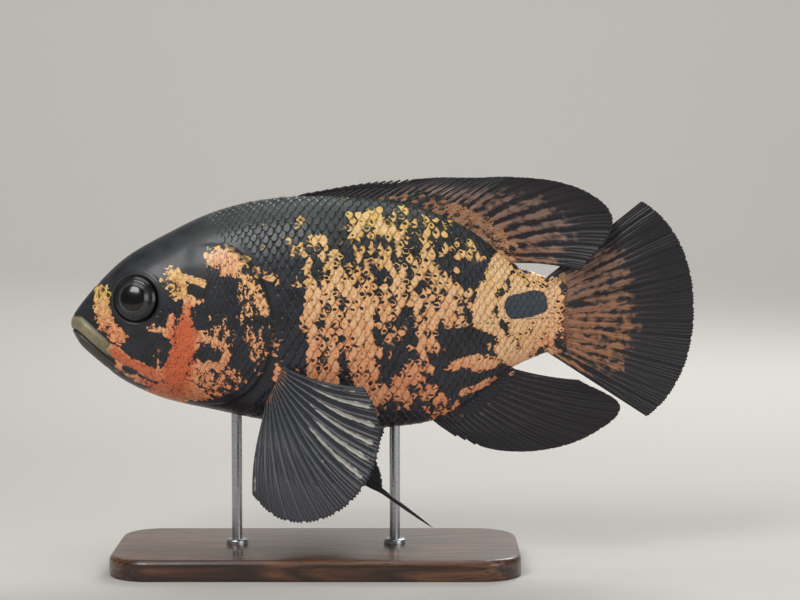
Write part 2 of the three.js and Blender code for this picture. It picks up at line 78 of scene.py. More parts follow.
# Body stations in shares of the standard length: place, back, belly, level of the widest part, half width,
# then the roundness of the back and of the belly, where 2 is an ellipse and less is a keel
STATIONS = np.array([
    [0.004, -0.004, -0.042, -0.023, 0.016, 2.0, 2.0],
    [0.027, 0.027, -0.074, -0.027, 0.037, 2.1, 2.0],
    [0.066, 0.071, -0.112, -0.027, 0.057, 2.3, 2.1],
    [0.12, 0.119, -0.15, -0.022, 0.074, 2.4, 2.2],
    [0.197, 0.163, -0.183, -0.016, 0.089, 2.3, 2.4],
    [0.295, 0.209, -0.205, -0.011, 0.103, 2.0, 2.5],
    [0.404, 0.236, -0.227, -0.005, 0.108, 1.85, 2.4],
    [0.536, 0.244, -0.243, 0.0, 0.105, 1.8, 2.2],
    [0.667, 0.234, -0.243, 0.0, 0.089, 1.8, 2.0],
    [0.776, 0.204, -0.224, 0.0, 0.066, 1.8, 1.8],
    [0.858, 0.158, -0.172, -0.003, 0.048, 1.9, 1.8],
    [0.923, 0.103, -0.119, -0.006, 0.036, 2.0, 2.0],
    [1.0, 0.071, -0.085, -0.007, 0.02, 2.0, 2.0],
])
GILL_OUTLINE = np.array([
    [47, 24], [58, 26.5], [68, 20.5], [75, 9], [77.6, -5], [75.5, -19],
    [67.5, -30], [55, -34.5], [42, -31.5], [37, -27], [42.5, -18], [45, -5], [45.2, 10],
], float)
PREOPERCLE = np.array([[43.5, 14], [43.6, 3], [42.2, -10], [38.5, -19.5], [31, -25.5]], float)
LIP = {"tip": 2.9, "line": -6.35, "slope": 0.85, "upper": 2.45, "lower": 1.9, "corner": 15.4}
EYE = {"x": 0.144 * STANDARD_LENGTH, "z": 0.032 * STANDARD_LENGTH, "radius": 9.3, "depth": 5.7}
EYE_TURN = {"forward": 13.0, "upward": 9.0}
NOSTRIL = {"x": 0.071 * STANDARD_LENGTH, "z": 0.049 * STANDARD_LENGTH, "radius": 1.0}

# Fins: lengths in millimetres and angles in degrees from the level, both taken evenly along the fin's root
DORSAL = {
    "span": (80, 166), "spines": 13, "rays": 19, "bend": 18, "lean": -5, "rows": 64, "per_ray": 15,
    "lengths": [8.5, 12.4, 14.4, 15.8, 19, 23, 29, 50, 27],
    "angles": [30, 32, 36, 39, 41, 42, 44, 21, 4],
}
ANAL = {
    "span": (136.7, 166.5), "spines": 3, "rays": 16, "bend": 16, "lean": -3, "rows": 60, "per_ray": 16,
    "lengths": [10, 19, 29, 38, 46.5, 48, 26.5],
    "angles": [46, 48, 43, 37, 28, 20, 18],
}
TAIL = {
    "rays": 16, "upper": 39, "lower": -33, "middle": 57, "corner": 46.5, "wave": 2.4, "rows": 84, "per_ray": 22,
}
PECTORAL = {
    "rays": 14, "x": (81, 77.5), "z": (-18.5, -31.5), "flare": 25, "curl": 5, "bend": 28, "rows": 64, "per_ray": 18,
    "lengths": [34, 46.5, 53, 54.5, 49, 37], "angles": [12, 33, 56, 79, 101],
}
PELVIC = {
    "rays": 6, "x": (75, 84), "side": (7.2, 4.6), "flare": 11, "curl": 3, "filament": 76, "rows": 96,
    "per_ray": 20, "lengths": [37, 50, 47, 42, 35, 28], "angles": [37, 35, 32, 28, 22, 16],
}
SINK = 2.4
RIDGE = 0.24


INK_CODE = "0b0a0c"


def colour(code):
    """A linear colour with alpha from an sRGB hex value."""
    shares = [int(code[i:i + 2], 16) / 255 for i in (0, 2, 4)]
    return tuple(c / 12.92 if c <= 0.04045 else ((c + 0.055) / 1.055) ** 2.4 for c in shares) + (1.0,)


INK = colour(INK_CODE)


def world(points):
    """Points of the fish's own frame, in millimetres, as metres in the model's frame."""
    return (np.asarray(points, float) + [SNOUT_X, 0.0, AXIS_HEIGHT]) / 1000.0


def fish_frame(piece):
    """A piece's vertices in the fish's own frame, in millimetres."""
    found = np.empty(len(piece.data.vertices) * 3, np.float32)
    piece.data.vertices.foreach_get("co", found)
    return found.reshape(-1, 3).astype(float) * 1000.0 - [SNOUT_X, 0.0, AXIS_HEIGHT]


def smooth(start, end, value):
    t = np.clip((value - start) / (end - start), 0.0, 1.0)
    return t * t * (3 - 2 * t)


def bell(value, width):
    return np.exp(-(value / width) ** 2)


def along(values, share):
    """The value of a smooth curve through evenly spaced rows, at shares of its length."""
    values = np.asarray(values, float)
    place = np.clip(share, 0, 1) * (len(values) - 1)
    i = np.minimum(np.floor(place).astype(int), len(values) - 2)
    f = place - i
    if values.ndim > 1:
        f = f[..., None]
    last = len(values) - 1
    a, b, c, d = (values[np.clip(i + k, 0, last)] for k in (-1, 0, 1, 2))
    into, out = (c - a) / 2, (d - b) / 2
    f2, f3 = f * f, f * f * f
    return (2 * f3 - 3 * f2 + 1) * b + (f3 - 2 * f2 + f) * into + (3 * f2 - 2 * f3) * c + (f3 - f2) * out


def to_line(x, z, corners, closed=False):
    """Distances of points from a line through corners, seen from the side. Inside a closed line they are negative."""
    corners = np.asarray(corners, float)
    ends = np.roll(corners, -1, axis=0) if closed else corners[1:]
    starts = corners if closed else corners[:-1]
    nearest = np.full(np.shape(x), 1e9)
    inside = np.zeros(np.shape(x), bool)
    for (ax, az), (bx, bz) in zip(starts, ends):
        share = np.clip(((x - ax) * (bx - ax) + (z - az) * (bz - az)) / ((bx - ax) ** 2 + (bz - az) ** 2), 0, 1)
        nearest = np.minimum(nearest, np.hypot(x - ax - share * (bx - ax), z - az - share * (bz - az)))
        if closed and az != bz:
            inside ^= ((az > z) != (bz > z)) & (x < (bx - ax) * (z - az) / (bz - az) + ax)
    return np.where(inside, -nearest, nearest)


def rounded(corners, steps=5):
    """A closed smooth line through corners."""
    count = len(corners)
    wrapped = np.concatenate([corners[-2:], corners, corners[:3]])
    share = (2 + np.arange(count * steps) / steps) / (len(wrapped) - 1)
    return along(wrapped, share)


GILL_EDGE = rounded(GILL_OUTLINE)


def midline(x):
    share = np.maximum(0, x / STANDARD_LENGTH - SWAY_START)
    return SWAY * share * share


BODY_CURVES = along(STATIONS, np.linspace(0, 1, 2401))
BODY_CURVES[:, :5] *= STANDARD_LENGTH
FIRST_RING = BODY_CURVES[0, 0]


def section(x):
    """Back, belly, level, half width and the two roundnesses of the body at distances from the snout."""
    return [np.interp(x, BODY_CURVES[:, 0], BODY_CURVES[:, k]) for k in range(1, 7)]


def half_width(x, z):
    back, belly, level, half, roof, keel = section(x)
    above = z > level
    share = np.where(above, (z - level) / (back - level), (level - z) / (level - belly))
    return half * np.sqrt(np.maximum(0, 1 - np.clip(share, 0, 1) ** np.where(above, roof, keel)))


def belly_at(x, out):
    back, belly, level, half, roof, keel = section(x)
    return level - (level - belly) * np.maximum(0, 1 - (out / half) ** 2) ** (1 / keel)


# The body's surface as a table: rings along the fish, each with places from the back down to the belly
RING_X = np.concatenate([
    5.0 * np.linspace(0.0, 1.0, 24) ** 2,
    np.linspace(5.0, 32.0, 84)[1:],
    np.linspace(32.0, 82.0, 128)[1:],
    np.linspace(82.0, STANDARD_LENGTH, 100)[1:],
])
HALF_RING = 120


def half_rings():
    """Outward places and heights of each ring from back to belly, evenly spaced, and each half ring's length."""
    x = np.maximum(RING_X, FIRST_RING)
    back, belly, level, half, roof, keel = (v[:, None] for v in section(x))
    closing = np.sqrt(np.clip(RING_X / FIRST_RING, 0, 1))[:, None]
    angle = np.linspace(math.pi / 2, -math.pi / 2, 721)[None, :]
    up = np.sin(angle)
    height = np.where(up >= 0, back - level, level - belly) * closing
    out = half * closing * np.cos(angle)
    high = level + np.sign(up) * height * np.abs(up) ** np.where(up >= 0, 2 / roof, 2 / keel)
    steps = np.hypot(np.diff(out), np.diff(high))
    arc = np.concatenate([np.zeros((len(x), 1)), np.cumsum(steps, axis=1)], axis=1)
    share = np.linspace(0, 1, HALF_RING + 1)
    outs = np.array([np.interp(share * a[-1], a, row) for a, row in zip(arc, out)])
    highs = np.array([np.interp(share * a[-1], a, row) for a, row in zip(arc, high)])
    outs[:, [0, -1]] = 0.0
    return outs, highs, arc[:, -1]


def ring_normals(outs, highs):
    """Unit normals of the left half's table, pointing out of the body."""
    across = np.repeat(RING_X[:, None], HALF_RING + 1, 1)
    points = np.stack([across, midline(across) - outs, highs], -1)
    down = np.gradient(points, axis=1)
    down[:, 0] = [0, -1, 0]
    down[:, -1] = [0, 1, 0]
    normals = np.cross(down, np.gradient(points, RING_X, axis=0))
    normals[0] = [-1, 0, 0]
    return normals / np.maximum(np.linalg.norm(normals, axis=-1, keepdims=True), 1e-12)


OUTS, HIGHS, GIRTHS = half_rings()
NORMALS = ring_normals(OUTS, HIGHS)


def between(table, i, j):
    """Values of a table between its rows and columns."""
    i0 = np.clip(i.astype(int), 0, table.shape[0] - 2)
    j0 = np.clip(j.astype(int), 0, table.shape[1] - 2)
    fi, fj = i - i0, j - j0
    if table.ndim > 2:
        fi, fj = fi[..., None], fj[..., None]
    near = table[i0, j0] * (1 - fj) + table[i0, j0 + 1] * fj
    far = table[i0 + 1, j0] * (1 - fj) + table[i0 + 1, j0 + 1] * fj
    return near * (1 - fi) + far * fi


def from_table(table, x, t):
    """Values of a ring table at distances x and shares t of the half ring."""
    return between(table, np.interp(x, RING_X, np.arange(len(RING_X))), np.clip(t, 0, 1) * HALF_RING)


def mouth_distance(x, z):
    """Signed distance from the line of the mouth, above it positive."""
    bend = 0.8
    run = bend * np.logaddexp(0, (x - LIP["tip"]) / bend)
    slope = LIP["slope"] / (1 + np.exp(-(x - LIP["tip"]) / bend))
    return (z - LIP["line"] + LIP["slope"] * run) / np.sqrt(1 + slope ** 2)


def eye_distance(x, z):
    """Distance from the eyeball's rim, measured on the cheek."""
    forward, upward = (math.cos(math.radians(EYE_TURN[k])) for k in ("forward", "upward"))
    return np.hypot((x - EYE["x"]) / forward, (z - EYE["z"]) / upward) - EYE["radius"]


# Sense pores along the jaw, under the eye and down the cheek's edge
PORES = [(6.5, 3.4), (9.5, -1.8), (13.5, -6.4), (18.5, -9.4), (24, -9.8), (29.5, -8), (14, -19.5), (20, -23.4),
         (26, -26.4), (33, -27), (38.4, -22), (41.6, -13.5)]


def relief(x, z):
    """How far the skin stands off the plain body form: gill cover, lips, eye socket, nostrils, folds and pores."""
    gill = to_line(x, z, GILL_EDGE, closed=True)
    rear = smooth(50, 64, x)
    lift = (0.62 * smooth(0.0, -0.5, gill) + 0.28 * smooth(-1.9, -2.8, gill)) * rear
    lift += 0.7 * smooth(2.5, -6.5, gill) * (1 - rear)
    lift -= 0.4 * bell(gill - 0.5, 0.42) * rear
    lift -= 0.24 * bell(to_line(x, z, PREOPERCLE), 0.55)
    lift += 0.2 * bell(to_line(x, z, PREOPERCLE + [2.6, -1.2]), 1.6)
    lift -= 0.16 * bell(to_line(x, z, [[50, -19], [62, -20.5], [73, -14]]), 0.5) * smooth(0, -1, gill)

    eye = eye_distance(x, z)
    lift += 0.7 * bell(eye - 0.2, 0.8) + 0.35 * bell(eye - 2.5, 2.2)
    lift -= 3.0 * smooth(-0.5, -1.5, eye)
    lift -= 0.22 * bell(eye - 4.1, 0.6) * smooth(EYE["z"] + 4, EYE["z"] - 4, z)

    nostril = np.hypot(x - NOSTRIL["x"], z - NOSTRIL["z"])
    lift += 0.35 * bell(nostril - 1.35, 0.4) - 1.1 * smooth(1.05, 0.5, nostril)

    d = mouth_distance(x, z)
    side = smooth(0.4, 5.0, x)
    reach = 1 - smooth(LIP["corner"] - 2.4, LIP["corner"] + 1.2, x)
    thin = 1 - 0.3 * smooth(5, LIP["corner"], x)
    upper = np.sqrt(np.maximum(0, 1 - ((d - LIP["upper"]) / (LIP["upper"] + 0.1)) ** 2))
    lower = np.sqrt(np.maximum(0, 1 - ((d + LIP["lower"]) / (LIP["lower"] + 0.1)) ** 2))
    lift += upper * (0.3 + 1.25 * side) * thin * reach + lower * (0.2 + 1.0 * side) * thin * reach
    lift -= (0.5 + 0.55 * side) * bell(d, 0.36) * (1 - smooth(LIP["corner"] - 0.8, LIP["corner"] + 1.8, x))
    lift -= 0.28 * (bell(d - 5.3, 0.5) + bell(d + 4.4, 0.5)) * reach
    lift -= 0.4 * bell(to_line(x, z, [[14.8, -13], [16.4, -16.5], [17.2, -20.5]]), 0.5)
    lift -= 0.25 * bell(to_line(x, z, [[17, -17], [23.5, -21.5], [31, -26]]), 0.6)
    lift += 0.22 * bell(to_line(x, z, [[17.4, -14.8], [24, -19], [32, -23.4]]), 1.3)
    for px, pz in PORES:
        lift -= 0.4 * bell(np.hypot(x - px, z - pz), 0.42)
    return lift


def body_point(x, t, side, lift=0.0):
    """Points on the skin at distances x and shares t of the half ring. side is -1 on the left and 1 on the right."""
    out, high = from_table(OUTS, x, t), from_table(HIGHS, x, t)
    normal = from_table(NORMALS, x, t)
    off = (relief(x, high) + lift)[..., None] * normal
    points = np.stack([x + off[..., 0], off[..., 1] - out, high + off[..., 2]], -1)
    points[..., 1] = midline(x) - side * points[..., 1]
    return points


def blot(x, z, centre, size, tilt=0.0, edge=0.35):
    """1 inside an ellipse with a soft edge, 0 outside."""
    turn = math.radians(tilt)
    dx, dz = x - centre[0], z - centre[1]
    u = (dx * math.cos(turn) + dz * math.sin(turn)) / size[0]
    v = (dz * math.cos(turn) - dx * math.sin(turn)) / size[1]
    return smooth(1 + edge, 1 - edge, np.hypot(u, v))


def stroke(x, z, corners, width, edge=0.5):
    """1 on a painted stroke of this width, 0 away from it."""
    return smooth(width / 2 * (1 + edge), width / 2 * (1 - edge), to_line(x, z, corners))


# Orange marks as ellipses: centre, half sizes, tilt in degrees and how densely they cover the dark ground
ORANGE_BLOTS = [
    ((119, 6), (34, 25), 0, 0.50), ((114, 34), (9, 6.5), 6, 0.60), ((92, 26), (9, 4.5), 10, 0.50),
    ((84, 33), (8, 5), 20, 0.26), ((134, 32), (13, 6), -10, 0.40), ((126, 38), (7, 3), 0, 0.36),
    ((152, 24), (9, 5), -20, 0.42), ((97, -6), (7, 27), 0, 0.60), ((111, -4), (7, 31), 2, 0.64),
    ((139, 2), (9, 20), 0, 0.58), ((149, 7), (9, 12), 20, 0.44), ((101, -30), (9, 9), 0, 0.62),
    ((116, -32), (6, 8), 0, 0.60), ((135, -24), (4.5, 13), 8, 0.60), ((155, -19.5), (12, 3.6), 8, 0.78),
    ((142, -37), (7, 6), 0, 0.44), ((178, 1), (13, 17), 0, 0.78), ((175, -12), (8, 7), 0, 0.56),
    ((59.5, 21), (9.2, 5.6), -18, 0.70), ((39, 12), (5.8, 6.3), 0, 0.68), ((41, -25), (9, 9), 0, 0.72),
    ((40, -30), (13, 4.6), 0, 0.84), ((55, -26), (11, 6), 10, 0.52), ((69, -4), (5, 20), 14, 0.36),
    ((128, -27), (7, 9), 0, 0.60), ((84, -29), (6, 7), 0, 0.42), ((56, -8), (6, 9), 0, 0.34), ((32.5, -17), (2.2, 4.6), 0, 0.50),
]
# Orange marks as strokes: corners, width and density
ORANGE_STROKES = [
    ([(71, 17), (79, 14), (89, 12.5)], 4.4, 0.60), ([(66, 16), (71, 10), (74, 2)], 4.6, 0.58),
    ([(91, 16), (90, -2)], 4.0, 0.58), ([(92, -8), (91, -36)], 4.6, 0.66), ([(101, 24), (101, -36)], 4.6, 0.66),
    ([(112, 20), (112.5, -38)], 5.2, 0.66), ([(126, 30), (127, 4)], 5, 0.6), ([(137, 26), (138, -8)], 5, 0.62),
    ([(147, 16), (149, -3)], 4.6, 0.58), ([(150, -31), (163, -26)], 2.6, 0.80),
    ([(165.5, 20), (160, 9), (157.5, 1), (161, -8), (168, -16), (173, -19)], 8.4, 0.98),
    ([(45.4, 4), (44.2, -5.8)], 5.4, 0.88), ([(44.2, -5.8), (41.8, -14.6), (40, -24), (39, -33)], 9.8, 0.88),
    ([(42, 14.8), (50.5, 12.4)], 3.0, 0.82), ([(41.5, 8), (45, 6.4), (49.6, 5.4)], 3.2, 0.86),
    ([(38, -0.6), (37.2, -7.6)], 3.4, 0.84), ([(30.6, -4.8), (37, -7)], 3.4, 0.84),
    ([(46.6, -7.5), (52, -9), (57, -11), (59.6, -15), (57, -19), (50, -19.6), (44, -17)], 3.4, 0.74),
    ([(15.4, -13.6), (20.7, -18.6), (26, -20.8), (33, -24.2)], 4.6, 1.0),
    ([(17.5, -20.8), (25, -25.4), (33, -29)], 3.2, 0.60), ([(78, -3), (79, -14)], 4.6, 0.80),
    ([(80.5, -17), (79, -24)], 4.6, 0.74), ([(11.8, 7.6), (11.2, 2), (13.6, -4.6), (18.2, -8.6)], 7.0, 0.74),
]
# Dark gaps left in the orange
DARK_BLOTS = [
    ((82, -2), (5, 20), 0, 0.80), ((84, -21), (3, 6), 0, 0.5), ((126, -9), (6.5, 10), -14, 0.52),
    ((122.5, -17), (3.4, 7.5), 6, 0.92), ((152, -10), (12, 4.2), -5, 0.98), ((133, -30), (3, 4), 0, 0.5),
    ((105.5, -28), (3, 6), 0, 0.75), ((48.3, 9.6), (2.6, 1.9), 0, 1.0), ((96, 0), (1.6, 8), 0, 0.3),
    ((146, -24.5), (9, 2.4), 10, 0.7), ((31, -12), (5, 6), 0, 0.45), ((52.4, -14.8), (3.8, 2.2), -12, 1.0),
    ((49, 0), (3.4, 7), 0, 0.5), ((26.4, 5.9), (10.8, 10.8), 0, 1.0), ((21.8, -21.6), (2.9, 1.2), -20, 1.0),
    ((154, 14), (7, 5), 0, 0.35), ((106, 24), (4, 4), 0, 0.4),
]
OCELLUS = {"centre": (174.6, 3.0), "size": (8.0, 4.7), "tilt": 10, "squareness": 3.2}
VIEW_CENTRE = (126.0, 4.6)
VIEW_DISTANCE = 853.4


def marks(x, z, side):
    """The fish's marks at points seen from the side: orange cover, warmth of the orange, darkness with painted shade
    in the creases, and paleness.
    """
    gill = to_line(x, z, GILL_EDGE, closed=True)
    eye = eye_distance(x, z)
    d = mouth_distance(x, z)
    nostril = np.hypot(x - NOSTRIL["x"], z - NOSTRIL["z"])

    # The marks are laid out as a viewer sees them, so their places allow for how near the skin is.
    # The right side carries the same ones, shifted a little.
    nearness = 1 / (1 - half_width(x, z) / VIEW_DISTANCE)
    x = VIEW_CENTRE[0] + (x - VIEW_CENTRE[0]) * nearness
    z = VIEW_CENTRE[1] + (z - VIEW_CENTRE[1]) * nearness
    shift = np.where(np.asarray(side) > 0, 1.0, 0.0)
    x, z = x + shift * 1.8 * np.sin(z / 7.0), z + shift * 2.2 * np.sin(x / 9.0 + 1.3) * smooth(20, 60, x)
    cover = np.zeros(np.shape(x))
    for centre, size, tilt, density in ORANGE_BLOTS:
        cover = np.maximum(cover, density * blot(x, z, centre, size, tilt))
    for corners, width, density in ORANGE_STROKES:
        cover = np.maximum(cover, density * stroke(x, z, corners, width))
    for centre, size, tilt, depth in DARK_BLOTS:
        cover = cover * (1 - depth * blot(x, z, centre, size, tilt))
    turn = math.radians(OCELLUS["tilt"])
    spot = [x - OCELLUS["centre"][0], z - OCELLUS["centre"][1]]
    along_spot = np.abs(spot[0] * math.cos(turn) + spot[1] * math.sin(turn)) / OCELLUS["size"][0]
    across_spot = np.abs(spot[1] * math.cos(turn) - spot[0] * math.sin(turn)) / OCELLUS["size"][1]
    roundness = OCELLUS["squareness"]
    to_spot = (along_spot ** roundness + across_spot ** roundness) ** (1 / roundness)
    cover = np.maximum(cover, 1.2 * bell(to_spot - 1.18, 0.2))
    in_spot = smooth(1.03, 0.97, to_spot)
    cover = cover * (1 - in_spot) - 0.6 * in_spot
    # Nothing stray on the bare skin of the forehead and the throat
    cover = cover - 0.16 * smooth(0.1, 0.0, cover) * smooth(60, 45, x)

    # Warmth runs from yellow, 0, through apricot and salmon to the red orange of the cheek, 1
    warmth = np.clip(0.06 + (36 - z) / 96, 0.0, 0.7)
    warmth = np.maximum(warmth, 0.98 * blot(x, z, (41, -16), (8, 24), -8, 0.5))
    warmth = np.maximum(warmth, 0.90 * blot(x, z, (36, -28), (14, 8), 0, 0.5))
    warmth = np.maximum(warmth, 0.95 * stroke(x, z, [(16, -14.5), (22, -19), (30, -22)], 5))
    warmth = np.maximum(warmth, 0.50 * blot(x, z, (59, 19), (8, 6), -20, 0.6))
    warmth = np.where((x < 24) & (z > -12), np.clip((10 - z) / 24, 0.05, 0.66), warmth)
    warmth = warmth * (1 - 0.3 * blot(x, z, (166, 0), (15, 20)))
    warmth = warmth * (1 - 0.5 * blot(x, z, (39, 14), (9, 9), 0, 0.5))

    lips = 1 - smooth(LIP["corner"] - 1.0, LIP["corner"] + 1.6, x)
    # Painted shade: black in the creases along the gill cover's rear edge, in the socket round the eye, along the
    # mouth line and in the nostril; and darker below the lower lip
    dark = 0.85 * bell(gill - 0.7, 0.8) * smooth(52, 62, x)
    dark = np.maximum(dark, 0.95 * bell(eye + 0.7, 0.9))
    dark = np.maximum(dark, 0.9 * bell(d, 0.42) * lips)
    dark = np.maximum(dark, 0.5 * smooth(-3.4, -5.0, d) * (1 - smooth(16, 24, x)))
    dark = np.maximum(dark, 0.9 * smooth(1.1, 0.6, nostril))

    pale = smooth(-0.2, 0.7, d) * smooth(5.4, 4.4, d) * (1 - smooth(LIP["corner"] - 2.5, LIP["corner"] + 0.5, x))
    pale = np.maximum(pale, 0.2 * smooth(0.1, -0.7, d) * smooth(-4.2, -3.2, d) * lips)
    # The eye spot's slate grey, a painted sheen over its black, is darkness below 0
    dark = dark * (1 - in_spot) - in_spot
    return np.clip(np.stack([cover, warmth, dark, pale], -1), -1.0, 1.3)


def deselect_all():
    if bpy.context.mode != "OBJECT":
        bpy.ops.object.mode_set(mode="OBJECT")
    bpy.ops.object.select_all(action="DESELECT")


def lay_grid(name, points):
    """A grid primitive whose vertices are laid on rows of points given in the fish's frame."""
    rows, columns = points.shape[:2]
    deselect_all()
    bpy.ops.mesh.primitive_grid_add(x_subdivisions=columns - 1, y_subdivisions=rows - 1, size=1)
    piece = bpy.context.object
    piece.name = piece.data.name = name
    piece.data.vertices.foreach_set("co", world(points).astype(np.float32).ravel())
    piece.data.update()
    return piece


def store(piece, name, values, kind="FLOAT"):
    """Keeps a number or a colour on every vertex, under a name that the materials read."""
    attribute = piece.data.attributes.new(name, kind, "POINT")
    field = "color" if kind == "FLOAT_COLOR" else "value"
    attribute.data.foreach_set(field, np.asarray(values, np.float32).ravel())


def store_uv(piece, name, places):
    """A UV map that gives each vertex one place."""
    layers = piece.data.uv_layers
    layer = layers.get(name) or layers.new(name=name)
    corners = np.empty(len(piece.data.loops), np.int32)
    piece.data.loops.foreach_get("vertex_index", corners)
    layer.data.foreach_set("uv", np.asarray(places, np.float32)[corners].ravel())


def face_outward(piece, closing=False):
    """Turns all faces outwards. Where closing is set, vertices that lie on each other are joined first."""
    deselect_all()
    bpy.context.view_layer.objects.active = piece
    piece.select_set(True)
    bpy.ops.object.mode_set(mode="EDIT")
    bpy.ops.mesh.select_all(action="SELECT")
    if closing:
        bpy.ops.mesh.remove_doubles(threshold=1e-6)
        bpy.ops.mesh.select_all(action="SELECT")
        bpy.ops.mesh.fill_holes(sides=0)
    bpy.ops.mesh.normals_make_consistent(inside=False)
    bpy.ops.object.mode_set(mode="OBJECT")


def finish_piece(piece, material, slot, *nodes):
    """Smooths a piece, gives it its material, and lets it ride on the body in the place of the nodes."""
    deselect_all()
    bpy.context.view_layer.objects.active = piece
    piece.select_set(True)
    bpy.ops.object.shade_smooth()
    piece.data.materials.clear()
    piece.data.materials.append(material)
    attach(piece, "root")
    if nodes:
        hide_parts(*nodes)
    return piece


def add_node(tree, kind, settings=None, inputs=None):
    """A shader node with its settings. An input given as a socket is linked to it, and any other is set."""
    made = tree.nodes.new("ShaderNode" + kind)
    for name, value in (settings or {}).items():
        if name == "stops":
            ramp = made.color_ramp
            while len(ramp.elements) < len(value):
                ramp.elements.new(0.5)
            for element, (place, shade) in zip(ramp.elements, value):
                element.position = place
                element.color = shade
        else:
            setattr(made, name, value)
    for name, value in (inputs or {}).items():
        if isinstance(value, bpy.types.NodeSocket):
            tree.links.new(value, made.inputs[name])
        else:
            made.inputs[name].default_value = value
    return made


def new_material(name):
    """An empty material with a surface shader, and its node tree."""
    material = bpy.data.materials.new(name)
    material.use_nodes = True
    tree = material.node_tree
    tree.nodes.clear()
    output = add_node(tree, "OutputMaterial")
    surface = add_node(tree, "BsdfPrincipled")
    tree.links.new(surface.outputs["BSDF"], output.inputs["Surface"])
    return material, tree, surface


def per_metre(millimetres):
    """A texture's scale on metres, from the size of its detail in millimetres."""
    return 1000.0 / millimetres


